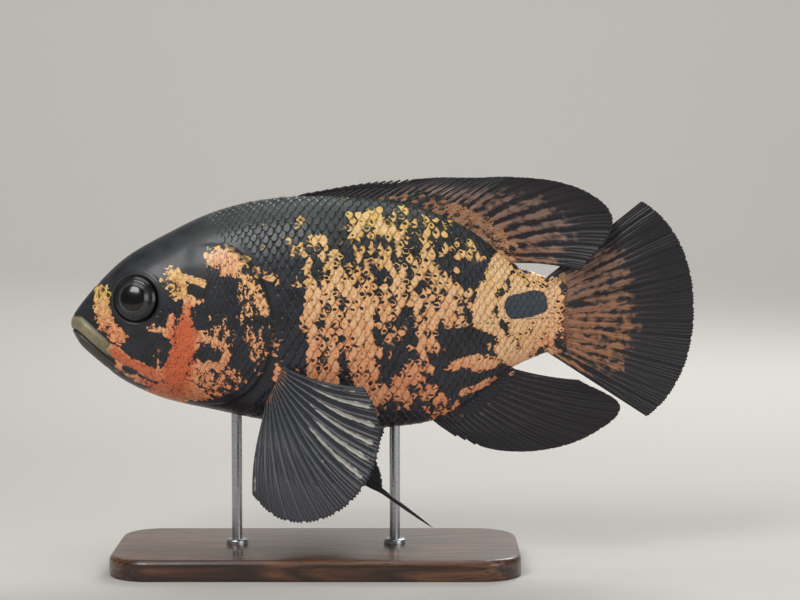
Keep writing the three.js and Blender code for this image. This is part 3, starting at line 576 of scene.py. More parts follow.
def hide_material(name, colours, plated):
    """Moist fish skin over pigment cells: charcoal ground, orange that breaks up into a net, and a thin wet film.

    On scale plates the orange leaves each plate's middle dark, so that it reads as rings that run together.
    """
    material, tree, surface = new_material(name)
    place = add_node(tree, "TexCoord").outputs["Object"]
    painted = add_node(tree, "Attribute", {"attribute_name": "marks"})
    parts = add_node(tree, "SeparateColor", inputs={"Color": painted.outputs["Color"]})
    cover, warmth, dark = (parts.outputs[k] for k in ("Red", "Green", "Blue"))
    pale = painted.outputs["Alpha"]

    # Pigment patches about as wide as a scale, with ragged rims
    weights = (0.85, 0.22) if plated else (0.9, 1.5)
    patches = add_node(tree, "TexNoise", inputs={
        "Vector": place, "Scale": per_metre(4.4), "Detail": 1.5, "Roughness": 0.5, "Distortion": 0.4})
    rags = add_node(tree, "TexNoise", inputs={
        "Vector": place, "Scale": per_metre(1.6), "Detail": 1.0, "Distortion": 0.3})
    patch = add_node(tree, "Math", {"operation": "MULTIPLY_ADD"}, {
        0: patches.outputs["Fac"], 1: weights[0], 2: cover})
    density = add_node(tree, "Math", {"operation": "MULTIPLY_ADD"}, {
        0: rags.outputs["Fac"], 1: weights[1], 2: patch.outputs[0]})
    # The two patterns average half their weight, so this takes that back off
    total = add_node(tree, "Math", {"operation": "SUBTRACT"}, {0: density.outputs[0], 1: sum(weights) / 2})
    rim = None
    if plated:
        own = add_node(tree, "UVMap", {"uv_map": "Plate"}).outputs["UV"]
        across = add_node(tree, "Mapping", {"vector_type": "POINT"}, {
            "Vector": own, "Location": (-0.5 / 0.15, -0.62 / 0.19, 0), "Scale": (1 / 0.15, 1 / 0.19, 1)})
        shaken = add_node(tree, "TexNoise", inputs={"Vector": place, "Scale": per_metre(2.2), "Detail": 1.0})
        shift = add_node(tree, "VectorMath", {"operation": "MULTIPLY_ADD"}, {
            0: shaken.outputs["Color"], 1: (2.6, 2.6, 0), 2: across.outputs["Vector"]})
        centred = add_node(tree, "VectorMath", {"operation": "SUBTRACT"}, {0: shift.outputs[0], 1: (1.3, 1.3, 0)})
        reach = add_node(tree, "VectorMath", {"operation": "LENGTH"}, {0: centred.outputs[0]})
        single = add_node(tree, "Attribute", {"attribute_name": "plate_chance"})
        chances = add_node(tree, "SeparateColor", inputs={"Color": single.outputs["Color"]})
        near = add_node(tree, "MapRange", {"interpolation_type": "SMOOTHSTEP"}, {
            "Value": reach.outputs["Value"], "From Min": 1.5, "From Max": 0.3})
        # Each plate's own draw sets how dark its middle is, and whether it is marked at all
        hollow = add_node(tree, "Math", {"operation": "MULTIPLY"}, {
            0: near.outputs["Result"], 1: chances.outputs["Green"]})
        chance = add_node(tree, "Math", {"operation": "MULTIPLY_ADD"}, {
            0: chances.outputs["Red"], 1: 0.5, 2: total.outputs[0]})
        ringed = add_node(tree, "Math", {"operation": "MULTIPLY_ADD"}, {
            0: hollow.outputs[0], 1: -0.62, 2: chance.outputs[0]})
        far = add_node(tree, "MapRange", {"interpolation_type": "SMOOTHSTEP"}, {
            "Value": reach.outputs["Value"], "From Min": 1.35, "From Max": 2.15})
        parted = add_node(tree, "Math", {"operation": "MULTIPLY"}, {
            0: far.outputs["Result"], 1: chances.outputs["Blue"]})
        beaded = add_node(tree, "Math", {"operation": "MULTIPLY_ADD"}, {
            0: parted.outputs[0], 1: -0.3, 2: ringed.outputs[0]})
        total = add_node(tree, "Math", {"operation": "SUBTRACT"}, {0: beaded.outputs[0], 1: 0.1})
        edge = add_node(tree, "SeparateXYZ", inputs={"Vector": own})
        rear = add_node(tree, "MapRange", {"interpolation_type": "SMOOTHSTEP"}, {
            "Value": edge.outputs["Y"], "From Min": 0.88, "From Max": 1.0, "To Min": 0.0, "To Max": 0.28})
        # The lateral line shows as a short tube along the middle of its scales
        aside = add_node(tree, "Math", {"operation": "SUBTRACT"}, {0: edge.outputs["X"], 1: 0.5})
        width = add_node(tree, "Math", {"operation": "ABSOLUTE"}, {0: aside.outputs[0]})
        tube = add_node(tree, "MapRange", {"interpolation_type": "SMOOTHSTEP"}, {
            "Value": width.outputs[0], "From Min": 0.16, "From Max": 0.06, "To Min": 0.0, "To Max": 0.7})
        short_tube = add_node(tree, "Math", {"operation": "MULTIPLY"}, {
            0: tube.outputs["Result"], 1: near.outputs["Result"]})
        on_line = add_node(tree, "Math", {"operation": "MULTIPLY"}, {
            0: short_tube.outputs[0], 1: single.outputs["Alpha"]})
        rim = add_node(tree, "Math", {"operation": "MAXIMUM"}, {
            0: rear.outputs["Result"], 1: on_line.outputs[0]})
    is_orange = add_node(tree, "MapRange", {"interpolation_type": "SMOOTHSTEP"}, {
        "Value": total.outputs[0], "From Min": 0.44, "From Max": 0.53})
    # The middle of a dense mark goes towards light peach, less so where the orange is red: partly paler pigment,
    # partly a painted highlight
    heart = add_node(tree, "MapRange", inputs={
        "Value": total.outputs[0], "From Min": 0.5, "From Max": 0.85,
        "To Min": 0.0, "To Max": 0.55 if plated else 0.3})
    cool = add_node(tree, "MapRange", inputs={
        "Value": warmth, "From Min": 0.35, "From Max": 1.0, "To Min": 1.0, "To Max": 0.15})
    glow = add_node(tree, "Math", {"operation": "MULTIPLY"}, {
        0: heart.outputs["Result"], 1: cool.outputs["Result"]})

    orange = add_node(tree, "ValToRGB", {"stops": [
        (0.0, colours.yellow), (0.38, colours.peach), (0.66, colours.orange), (1.0, colours.red)]}, {"Fac": warmth})
    clear = add_node(tree, "Mix", {"data_type": "RGBA"}, {
        "Factor": glow.outputs[0], "A": orange.outputs["Color"], "B": colours.pale_peach_and_highlight})
    # Thin brown lines wander through the orange, between clumps of pigment cells
    from_middle = add_node(tree, "Math", {"operation": "SUBTRACT"}, {0: rags.outputs["Fac"], 1: 0.5})
    off_line = add_node(tree, "Math", {"operation": "ABSOLUTE"}, {0: from_middle.outputs[0]})
    line = add_node(tree, "MapRange", {"interpolation_type": "SMOOTHSTEP"}, {
        "Value": off_line.outputs[0], "From Min": 0.0, "From Max": 0.07,
        "To Min": 0.3 if plated else 0.75, "To Max": 0.0})
    bright = add_node(tree, "Mix", {"data_type": "RGBA"}, {
        "Factor": line.outputs["Result"], "A": clear.outputs["Result"], "B": colours.rust})

    # The ground: greenish grey on the back, charcoal on the side, purplish below
    height = add_node(tree, "SeparateXYZ", inputs={"Vector": place})
    zone = add_node(tree, "MapRange", inputs={
        "Value": height.outputs["Z"], "From Min": 0.055, "From Max": 0.142})
    ground = add_node(tree, "ValToRGB", {"stops": [
        (0.0, colours.belly), (0.4, colours.charcoal), (0.72, colours.charcoal), (1.0, colours.back)]},
        {"Fac": zone.outputs["Result"]})
    cloud = add_node(tree, "TexNoise", inputs={"Vector": place, "Scale": per_metre(7.0), "Detail": 4.0})
    cloudy = add_node(tree, "MapRange", inputs={
        "Value": cloud.outputs["Fac"], "From Min": 0.3, "From Max": 0.7, "To Min": 0.62, "To Max": 1.45})
    mottled = add_node(tree, "VectorMath", {"operation": "SCALE"}, {
        0: ground.outputs["Color"], "Scale": cloudy.outputs["Result"]})

    coat = add_node(tree, "Mix", {"data_type": "RGBA"}, {
        "Factor": is_orange.outputs["Result"], "A": mottled.outputs[0], "B": bright.outputs["Result"]})
    lip_cloud = add_node(tree, "MapRange", inputs={
        "Value": cloud.outputs["Fac"], "From Min": 0.3, "From Max": 0.65, "To Min": 0.45, "To Max": 1.0})
    on_lips = add_node(tree, "Math", {"operation": "MULTIPLY"}, {0: pale, 1: lip_cloud.outputs["Result"]})
    cream = add_node(tree, "Mix", {"data_type": "RGBA"}, {
        "Factor": on_lips.outputs[0], "A": coat.outputs["Result"], "B": colours.cream})
    in_spot = add_node(tree, "MapRange", inputs={
        "Value": dark, "From Min": 0.0, "From Max": -1.0, "To Min": 0.0, "To Max": 0.9})
    # Painted sheen: inside the eye spot the colour goes to slate grey instead of black
    spotted = add_node(tree, "Mix", {"data_type": "RGBA"}, {
        "Factor": in_spot.outputs["Result"], "A": cream.outputs["Result"], "B": colours.eye_spot_sheen})
    # Black where the marks are dark: painted shade in the skin's creases, darker skin below the lower lip, and the
    # dark pigment of the fins' root scales
    shaded = add_node(tree, "Mix", {"data_type": "RGBA"}, {
        "Factor": dark, "A": spotted.outputs["Result"], "B": colours.black_and_shade})
    last = shaded.outputs["Result"]
    if rim is not None:
        last = add_node(tree, "Mix", {"data_type": "RGBA"}, {
            "Factor": rim.outputs[0], "A": last, "B": colours.black_and_shade}).outputs["Result"]
    tree.links.new(last, surface.inputs["Base Color"])

    # Fine grain of the skin, and slime that lies thicker in patches
    grain = add_node(tree, "TexNoise", inputs={"Vector": place, "Scale": per_metre(0.5), "Detail": 3.0})
    bump = add_node(tree, "Bump", inputs={
        "Strength": 0.25 if plated else 0.5, "Distance": 0.0002, "Height": grain.outputs["Fac"]})
    tree.links.new(bump.outputs["Normal"], surface.inputs["Normal"])
    slick = add_node(tree, "MapRange", inputs={
        "Value": cloud.outputs["Fac"], "From Min": 0.3, "From Max": 0.7, "To Min": 0.38, "To Max": 0.55})
    tree.links.new(slick.outputs["Result"], surface.inputs["Roughness"])
    surface.inputs["IOR"].default_value = 1.4
    surface.inputs["Coat Weight"].default_value = 0.25
    surface.inputs["Coat Roughness"].default_value = 0.18
    surface.inputs["Subsurface Weight"].default_value = 0.0
    return material


def fin_material(name, web_colours, streak_colours, web_alpha=1.0):
    """Fin membrane: thin translucent skin between horny rays, slightly wet, with pigment that follows the rays."""
    material, tree, surface = new_material(name)
    painted = add_node(tree, "Attribute", {"attribute_name": "fin_marks"})
    parts = add_node(tree, "SeparateColor", inputs={"Color": painted.outputs["Color"]})
    ray, tone, warmth = (parts.outputs[k] for k in ("Red", "Green", "Blue"))
    dark = painted.outputs["Alpha"]
    own = add_node(tree, "UVMap", {"uv_map": "Fin"}).outputs["UV"]
    place = add_node(tree, "TexCoord").outputs["Object"]

    # Streaks run along the rays: u counts rays and v is millimetres out from the root
    stretched = add_node(tree, "Mapping", {"vector_type": "POINT"}, {"Vector": own, "Scale": (2.5, 0.1, 1)})
    streaks = add_node(tree, "TexNoise", {"noise_dimensions": "2D"}, {
        "Vector": stretched.outputs["Vector"], "Scale": 1.0, "Detail": 2.0, "Roughness": 0.55})
    short = add_node(tree, "Mapping", {"vector_type": "POINT"}, {"Vector": own, "Scale": (1.9, 0.36, 1)})
    dashes = add_node(tree, "TexNoise", {"noise_dimensions": "2D"}, {
        "Vector": short.outputs["Vector"], "Scale": 1.0, "Detail": 1.5, "Distortion": 0.3})
    streaked = add_node(tree, "Math", {"operation": "MULTIPLY_ADD"}, {
        0: streaks.outputs["Fac"], 1: 0.9, 2: tone})
    dashed = add_node(tree, "Math", {"operation": "MULTIPLY_ADD"}, {
        0: dashes.outputs["Fac"], 1: 0.9, 2: streaked.outputs[0]})
    # The two patterns average 0.9 together
    lit = add_node(tree, "MapRange", {"interpolation_type": "SMOOTHSTEP"}, {
        "Value": dashed.outputs[0], "From Min": 1.25, "From Max": 1.68})

    warm = add_node(tree, "Mix", {"data_type": "RGBA"}, {
        "Factor": warmth, "A": streak_colours[0], "B": streak_colours[1]})
    ground = add_node(tree, "Mix", {"data_type": "RGBA"}, {
        "Factor": ray, "A": web_colours[0], "B": web_colours[1]})
    both = add_node(tree, "Mix", {"data_type": "RGBA"}, {
        "Factor": lit.outputs["Result"], "A": ground.outputs["Result"], "B": warm.outputs["Result"]})
    shaded = add_node(tree, "Mix", {"data_type": "RGBA"}, {
        "Factor": dark, "A": both.outputs["Result"], "B": INK})
    tree.links.new(shaded.outputs["Result"], surface.inputs["Base Color"])

    # Soft rays are built of short joints, about 1.2 mm apart
    joints = add_node(tree, "TexWave", {"wave_type": "BANDS", "bands_direction": "Y"}, {
        "Vector": own, "Scale": 0.26, "Distortion": 0.6, "Detail": 1.0})
    on_rays = add_node(tree, "Math", {"operation": "MULTIPLY"}, {0: joints.outputs["Fac"], 1: ray})
    grain = add_node(tree, "TexNoise", inputs={"Vector": place, "Scale": per_metre(0.6), "Detail": 3.0})
    height = add_node(tree, "Math", {"operation": "MULTIPLY_ADD"}, {
        0: grain.outputs["Fac"], 1: 0.5, 2: on_rays.outputs[0]})
    bump = add_node(tree, "Bump", inputs={
        "Strength": 0.3, "Distance": 0.0002, "Height": height.outputs[0]})
    tree.links.new(bump.outputs["Normal"], surface.inputs["Normal"])
    if web_alpha < 1.0:
        see = add_node(tree, "MapRange", inputs={
            "Value": ray, "From Min": 0.1, "From Max": 0.6, "To Min": web_alpha, "To Max": 1.0})
        tree.links.new(see.outputs["Result"], surface.inputs["Alpha"])
    surface.inputs["Roughness"].default_value = 0.42
    surface.inputs["IOR"].default_value = 1.4
    surface.inputs["Coat Weight"].default_value = 0.15
    surface.inputs["Coat Roughness"].default_value = 0.25
    return material


def eye_material(colours):
    """A fish's eye: a black lens that fills the pupil, a dark grey iris with a thin pale ring, under a wet cornea."""
    material, tree, surface = new_material("Eye_wet_cornea")
    own = add_node(tree, "UVMap", {"uv_map": "Iris"}).outputs["UV"]
    away = add_node(tree, "VectorMath", {"operation": "LENGTH"}, {0: own})
    streak_place = add_node(tree, "VectorMath", {"operation": "NORMALIZE"}, {0: own})
    streaks = add_node(tree, "TexNoise", inputs={
        "Vector": streak_place.outputs[0], "Scale": 9.0, "Detail": 4.0, "Roughness": 0.7})
    flecks = add_node(tree, "TexNoise", inputs={"Vector": own, "Scale": 7.0, "Detail": 3.0})
    wobble = add_node(tree, "Math", {"operation": "MULTIPLY_ADD"}, {
        0: flecks.outputs["Fac"], 1: 0.05, 2: away.outputs["Value"]})
    rings = add_node(tree, "ValToRGB", {"stops": [
        (0.0, colours.black_and_shade), (0.55, colours.black_and_shade), (0.585, colours.iris_ring), (0.63, colours.iris),
        (0.80, colours.iris_dark), (0.96, colours.black_and_shade)]}, {"Fac": wobble.outputs[0]})
    vary = add_node(tree, "MapRange", inputs={
        "Value": streaks.outputs["Fac"], "From Min": 0.3, "From Max": 0.7, "To Min": 0.55, "To Max": 1.5})
    varied = add_node(tree, "VectorMath", {"operation": "SCALE"}, {
        0: rings.outputs["Color"], "Scale": vary.outputs["Result"]})
    tree.links.new(varied.outputs[0], surface.inputs["Base Color"])
    surface.inputs["Roughness"].default_value = 0.22
    surface.inputs["IOR"].default_value = 1.38
    surface.inputs["Coat Weight"].default_value = 0.7
    surface.inputs["Coat Roughness"].default_value = 0.03
    surface.inputs["Coat IOR"].default_value = 1.4
    return material


def wood_material(colours):
    """Dark stained beech under satin varnish: fine straight grain along the base, pores and a soft sheen."""
    material, tree, surface = new_material("Base_stained_beech")
    place = add_node(tree, "TexCoord").outputs["Object"]
    long_grain = add_node(tree, "Mapping", {"vector_type": "POINT"}, {"Vector": place, "Scale": (0.09, 1.0, 1.0)})
    rings = add_node(tree, "TexNoise", inputs={
        "Vector": long_grain.outputs["Vector"], "Scale": per_metre(7.0), "Detail": 3.0, "Distortion": 0.8})
    bands = add_node(tree, "Math", {"operation": "MULTIPLY"}, {0: rings.outputs["Fac"], 1: 9.0})
    cycle = add_node(tree, "Math", {"operation": "PINGPONG"}, {0: bands.outputs[0], 1: 1.0})
    pores = add_node(tree, "TexNoise", inputs={
        "Vector": long_grain.outputs["Vector"], "Scale": per_metre(0.9), "Detail": 2.0})
    pore = add_node(tree, "MapRange", inputs={
        "Value": pores.outputs["Fac"], "From Min": 0.56, "From Max": 0.7})
    stain = add_node(tree, "ValToRGB", {"stops": [
        (0.0, colours.wood_dark), (0.55, colours.wood), (1.0, colours.wood_light)]}, {"Fac": cycle.outputs[0]})
    final = add_node(tree, "Mix", {"data_type": "RGBA"}, {
        "Factor": pore.outputs["Result"], "A": stain.outputs["Color"], "B": colours.wood_dark})
    tree.links.new(final.outputs["Result"], surface.inputs["Base Color"])
    bump = add_node(tree, "Bump", {"invert": True}, {
        "Strength": 0.2, "Distance": 0.0001, "Height": pore.outputs["Result"]})
    tree.links.new(bump.outputs["Normal"], surface.inputs["Normal"])
    surface.inputs["Roughness"].default_value = 0.42
    surface.inputs["IOR"].default_value = 1.5
    surface.inputs["Coat Weight"].default_value = 0.5
    surface.inputs["Coat Roughness"].default_value = 0.16
    return material


def steel_material(colours):
    """Stainless steel rod, drawn and brushed round: fine rings in the roughness, with a soft bright line."""
    material, tree, surface = new_material("Rod_brushed_stainless_steel")
    place = add_node(tree, "TexCoord").outputs["Object"]
    round_marks = add_node(tree, "Mapping", {"vector_type": "POINT"}, {"Vector": place, "Scale": (0.02, 0.02, 1.0)})
    brushed = add_node(tree, "TexNoise", inputs={
        "Vector": round_marks.outputs["Vector"], "Scale": per_metre(0.35), "Detail": 3.0})
    rough = add_node(tree, "MapRange", inputs={
        "Value": brushed.outputs["Fac"], "From Min": 0.3, "From Max": 0.7, "To Min": 0.22, "To Max": 0.42})
    tree.links.new(rough.outputs["Result"], surface.inputs["Roughness"])
    surface.inputs["Base Color"].default_value = colours.steel
    surface.inputs["Metallic"].default_value = 1.0
    return material


def plate_master(columns=5, rows=6):
    """One scale as a thin closed plate: places across and along it, and whether each vertex is on its underside."""
    deselect_all()
    bpy.ops.mesh.primitive_grid_add(x_subdivisions=columns, y_subdivisions=rows, size=2)
    master = bpy.context.object
    thickness = master.modifiers.new("Thickness", "SOLIDIFY")
    thickness.thickness = 0.1
    thickness.offset = -1
    bpy.ops.object.modifier_apply(modifier=thickness.name)
    mesh = master.data
    places = np.array([v.co for v in mesh.vertices], float)
    faces = [list(p.vertices) for p in mesh.polygons]
    bpy.data.objects.remove(master)
    bpy.data.meshes.remove(mesh)
    return places[:, 0], (places[:, 1] + 1) / 2, places[:, 2] < -0.05, faces


def build_mesh(name, points, faces):
    """A piece joined from many copies, from points in the fish's frame and faces of four corners."""
    mesh = bpy.data.meshes.new(name)
    mesh.vertices.add(len(points))
    mesh.vertices.foreach_set("co", world(points).astype(np.float32).ravel())
    mesh.loops.add(faces.size)
    mesh.loops.foreach_set("vertex_index", faces.astype(np.int32).ravel())
    mesh.polygons.add(len(faces))
    mesh.polygons.foreach_set("loop_start", np.arange(0, faces.size, 4, dtype=np.int32))
    mesh.update(calc_edges=True)
    mesh.validate()
    piece = bpy.data.objects.new(name, mesh)
    bpy.context.collection.objects.link(piece)
    return piece


def lattice(pitch, first, last, seed):
    """Scale roots in rows along the side, each second row set half a pitch on: distances, half-ring shares, sizes."""
    draw = np.random.default_rng(seed)
    steps = [first]
    while steps[-1] < last:
        x = steps[-1]
        steps.append(x + pitch * pitch_share(x))
    steps = np.array(steps)
    places = []
    for row in range(-22, 23):
        x = steps + (0.5 * pitch * pitch_share(steps) if row % 2 else 0.0)
        girth = np.interp(x, RING_X, GIRTHS)
        size = pitch * pitch_share(x)
        t = 0.47 + row * 0.86 * size / girth
        places.append(np.stack([x, t, size], -1)[(t > 0.012) & (t < 0.985)])
    places = np.concatenate(places)
    places[:, 0] += draw.normal(0, 0.05, len(places)) * places[:, 2]
    places[:, 1] += draw.normal(0, 0.04, len(places)) * places[:, 2] / np.interp(places[:, 0], RING_X, GIRTHS)
    return places


def pitch_share(x):
    """Scales are largest in the middle of the flank and smaller towards the nape and the tail."""
    return 0.76 + 0.24 * smooth(56, 84, x) - 0.26 * smooth(136, 172, x)


def on_lateral_line(x, z):
    """1 for places on the lateral line, which runs high along the trunk, stops, and goes on low to the tail."""
    high = np.interp(x, [72, 90, 115, 140, 150], [15, 21, 25, 22, 19])
    low = np.interp(x, [134, 150, 165, 185], [-4, -3.4, -2.5, -1.5])
    upper = (np.abs(z - high) < 1.45) & (x > 74) & (x < 147)
    lower = (np.abs(z - low) < 1.2) & (x > 136)
    return (upper | lower).astype(float)


def plates_on(places, side, lift, seed):
    """Scale plates at lattice places: vertices, faces and the values that their material reads."""
    u, v, under, faces = MASTER_PLATE
    draw = np.random.default_rng(seed)
    x0, t0, size, stand = (places[:, k][:, None] for k in range(4))
    along_plate = v[None, :] * (1 - 0.26 * u[None, :] ** 2)
    across = u[None, :] * (0.84 - 0.16 * (1 - v[None, :]) ** 2)
    x = x0 + 1.5 * size * along_plate
    girth = np.interp(x, RING_X, GIRTHS)
    t = t0 + across * 0.86 * size / girth
    tip = draw.normal(1.0, 0.12, (len(places), 1))
    rise = -0.16 + (lift * stand + 0.16) * tip * v[None, :] ** 1.2 - 0.10 * u[None, :] ** 2
    rise = np.where(under[None, :], rise - 0.14, rise) * size / 3.3
    points = body_point(np.minimum(x, STANDARD_LENGTH), t, side, rise)
    points[..., 0] += np.maximum(0, x - STANDARD_LENGTH)
    count = len(u)
    all_faces = (np.array(faces)[None] + (np.arange(len(places)) * count)[:, None, None]).reshape(-1, 4)
    own = np.stack([np.broadcast_to((u + 1) / 2, t.shape), np.broadcast_to(v, t.shape)], -1)
    z0 = from_table(HIGHS, np.minimum(x0[:, 0], STANDARD_LENGTH), t0[:, 0])
    draws = np.column_stack([draw.random((len(places), 3)), on_lateral_line(x0[:, 0], z0)])
    chance = np.repeat(draws[:, None], count, 1)
    root_u = (x0 / STANDARD_LENGTH * 0.9 + 0.05) + 0.0 * u
    root_v = (t0 * 0.44 + (0.03 if side < 0 else 0.53)) + 0.0 * u
    baked = np.stack([root_u + 0.0015 * u, root_v + 0.0015 * (2 * v - 1)], -1)
    return points.reshape(-1, 3), all_faces, own.reshape(-1, 2), chance.reshape(-1, 4), baked.reshape(-1, 2)


def add_plates(name, groups, side, material, slot):
    """One piece of scale plates from several groups of places, each with how far its plates stand up."""
    points, faces, own, chance, baked = [], [], [], [], []
    start = 0
    for seed, (places, lift) in enumerate(groups):
        made = plates_on(places, side, lift, 40 + seed)
        faces.append(made[1] + start)
        start += len(made[0])
        for kept, values in zip((points, own, chance, baked), (made[0], made[2], made[3], made[4])):
            kept.append(values)
    points = np.concatenate(points)
    piece = build_mesh(name, points, np.concatenate(faces))
    face_outward(piece)
    store(piece, "marks", marks(points[:, 0], points[:, 2], side), "FLOAT_COLOR")
    store(piece, "plate_chance", np.concatenate(chance), "FLOAT_COLOR")
    store_uv(piece, "Plate", np.concatenate(own))
    store_uv(piece, "OFBake", np.concatenate(baked))
    return finish_piece(piece, material, slot)


def add_fin_plates(name, points, half, first, last, depth, size):
    """Small scales on both faces of a fin's root, over shares first to last and out to a depth in millimetres."""
    u, v, under, faces = MASTER_PLATE
    draw = np.random.default_rng(17)
    rows, columns = points.shape[0] - 1, points.shape[1] - 1
    normal = np.cross(np.gradient(points, axis=0), np.gradient(points, axis=1))
    normal = normal / np.maximum(np.linalg.norm(normal, axis=-1, keepdims=True), 1e-12)
    girth = np.linalg.norm(np.diff(points[rows // 12], axis=0), axis=-1)
    travel = np.concatenate([[0], np.cumsum(girth)])
    length = np.linalg.norm(points[-1] - points[0], axis=-1)
    places = []
    uneven = draw.random(columns + 2)

    def raggedness(column):
        return np.interp(column, np.arange(columns + 2), np.convolve(uneven, np.ones(9) / 9, "same") * 2 - 0.5)

    for row in range(int(depth / (0.8 * size))):
        steps = np.arange(travel[int(first * columns)], travel[int(last * columns)], size) + 0.5 * size * (row % 2)
        column = np.interp(steps, travel, np.arange(columns + 1))
        reach = SINK - 1.4 + row * 0.8 * size + draw.normal(0, 0.06, len(column))
        edge = smooth(first, first + 0.12, column / columns) * smooth(last + 0.01, last - 0.08, column / columns)
        kept = reach < depth * (0.35 + 0.65 * edge) * (0.6 + 0.4 * raggedness(column))
        places.append(np.stack([column, reach], -1)[kept])
    places = np.concatenate(places)
    column, reach = places[:, :1], places[:, 1:]
    at = column + u[None, :] * 0.56 * size / np.interp(column, np.arange(columns), girth)
    out = (reach + 1.5 * size * v[None, :] * (1 - 0.22 * u[None, :] ** 2)) / np.interp(
        at, np.arange(columns + 1), length) * rows
    rise = 0.02 + 0.2 * v[None, :] ** 1.3 - np.where(under[None, :], 0.2, 0.0) - 0.06 * u[None, :] ** 2
    middle, thick, direction = (between(t, out, at) for t in (points, half, normal))
    turned = np.array(faces)
    every, ends = [], []
    for side in (-1, 1):
        every.append((middle + side * direction * (thick + rise)[..., None]).reshape(-1, 3))
        count = len(u)
        start = 0 if side < 0 else len(places) * count
        ends.append((turned[None] + (start + np.arange(len(places)) * count)[:, None, None]).reshape(-1, 4))
    every = np.concatenate(every)
    piece = build_mesh(name, every, np.concatenate(ends))
    face_outward(piece)
    return piece, places, (out / rows * np.ones_like(at), at / columns), len(u)


def ray_ridges(share, out, spines, soft, seed):
    """Heights of the ray ridges, 0 to 1, over columns at shares of the fin's root and rows outwards.

    A spine is one stout ridge. A soft ray parts in two, and each half parts again further out.
    """
    draw = np.random.default_rng(seed)
    count = spines + soft
    place = np.clip(share, 0, 1 - 1e-9) * count
    index = np.floor(place).astype(int)
    f = (place - index)[None, :] - 0.5
    out = out[:, None]
    first = (0.26 + 0.10 * draw.random(count))[index][None, :]
    second = (0.56 + 0.08 * draw.random(count))[index][None, :]
    is_soft = (index >= spines)[None, :]
    part = np.where(is_soft, 0.21 * smooth(first, first + 0.3, out), 0.0)
    again = np.where(is_soft, 0.10 * smooth(second, second + 0.25, out), 0.0)
    width = np.where(is_soft, 0.15 - 0.085 * smooth(first - 0.1, second + 0.2, out), 0.19 - 0.09 * out)
    ridge = np.zeros(np.broadcast_shapes(f.shape, out.shape))
    for one in (-1, 1):
        for two in (-1, 1):
            ridge = np.maximum(ridge, bell(f + one * part + two * again, width))
    return ridge


def taper(root, edge, out):
    return edge + (root - edge) * (1 - smooth(0, 0.55, out)) ** 1.6


def fin_columns(fin, spines, soft):
    return np.linspace(0, 1, (spines + soft) * fin["per_ray"] + 1), np.linspace(0, 1, fin["rows"] + 1)


def make_fin(name, fin, paint, material, *nodes):
    """A fin from the grid of its middle layer, thickened by a different amount at every vertex.

    paint holds how light its streaks are, how brown they are, and how black the fin is.
    """
    points, half, ridge, _, _, uv = fin
    values = np.stack(np.broadcast_arrays(ridge, *paint), -1)
    piece = lay_grid(name, points)
    thick = 2 * (half + RIDGE * ridge)
    most = thick.max()
    group = piece.vertex_groups.new(name="thickness")
    for level in range(1, 65):
        chosen = np.nonzero(np.round(thick.ravel() / most * 64).astype(int) == level)[0]
        if len(chosen):
            group.add([int(i) for i in chosen], level / 64, "REPLACE")
    store(piece, "fin_marks", values.reshape(-1, 4), "FLOAT_COLOR")
    store_uv(piece, "Fin", uv.reshape(-1, 2))
    deselect_all()
    bpy.context.view_layer.objects.active = piece
    piece.select_set(True)
    skin = piece.modifiers.new("Thickness", "SOLIDIFY")
    skin.thickness = most / 1000
    skin.offset = 0
    skin.vertex_group = group.name
    skin.use_even_offset = False
    bpy.ops.object.modifier_apply(modifier=skin.name)
    piece.vertex_groups.clear()
    return finish_piece(piece, material, "fin", *nodes)


def fin_uv(share, out, count, lengths):
    return np.stack(np.broadcast_arrays(share[None, :] * count, out[:, None] * lengths[None, :]), -1)


def median_fin(fin, upward):
    """The middle layer of the fin along the back, or of the anal fin where upward is -1."""
    spines, soft = fin["spines"], fin["rays"]
    share, out = fin_columns(fin, spines, soft)
    ridge = ray_ridges(share, out, spines, soft, 5)
    x = fin["span"][0] + (fin["span"][1] - fin["span"][0]) * share
    back, belly, *_ = section(x)
    root = back - SINK if upward > 0 else belly + SINK
    lengths = along(fin["lengths"], share) + SINK
    is_soft = smooth(spines - 0.5, spines + 0.5, share * (spines + soft))
    tips = np.where(is_soft > 0.5, 0.992 + 0.008 * ridge[-1], 0.86 + 0.14 * ridge[-1] ** 0.7)
    mean = np.radians(along(fin["angles"], share)[None, :] - fin["bend"] * out[:, None] / 2)
    length = (lengths * tips)[None, :] * out[:, None]
    lean = fin["lean"] * smooth(0.45, 0.95, share)[None, :] * out[:, None] ** 2
    ripple = 0.5 * np.sin(share * 31.0)[None, :] * out[:, None] ** 1.5 * smooth(0.3, 0.6, share)[None, :]
    points = np.stack([
        x[None, :] + length * np.cos(mean),
        midline(x)[None, :] + lean + ripple,
        root[None, :] + upward * length * np.sin(mean),
    ], -1)
    half = np.broadcast_to(taper(1.2, 0.16, out)[:, None], ridge.shape)
    return points, half, ridge, share, out, fin_uv(share, out, spines + soft, lengths)


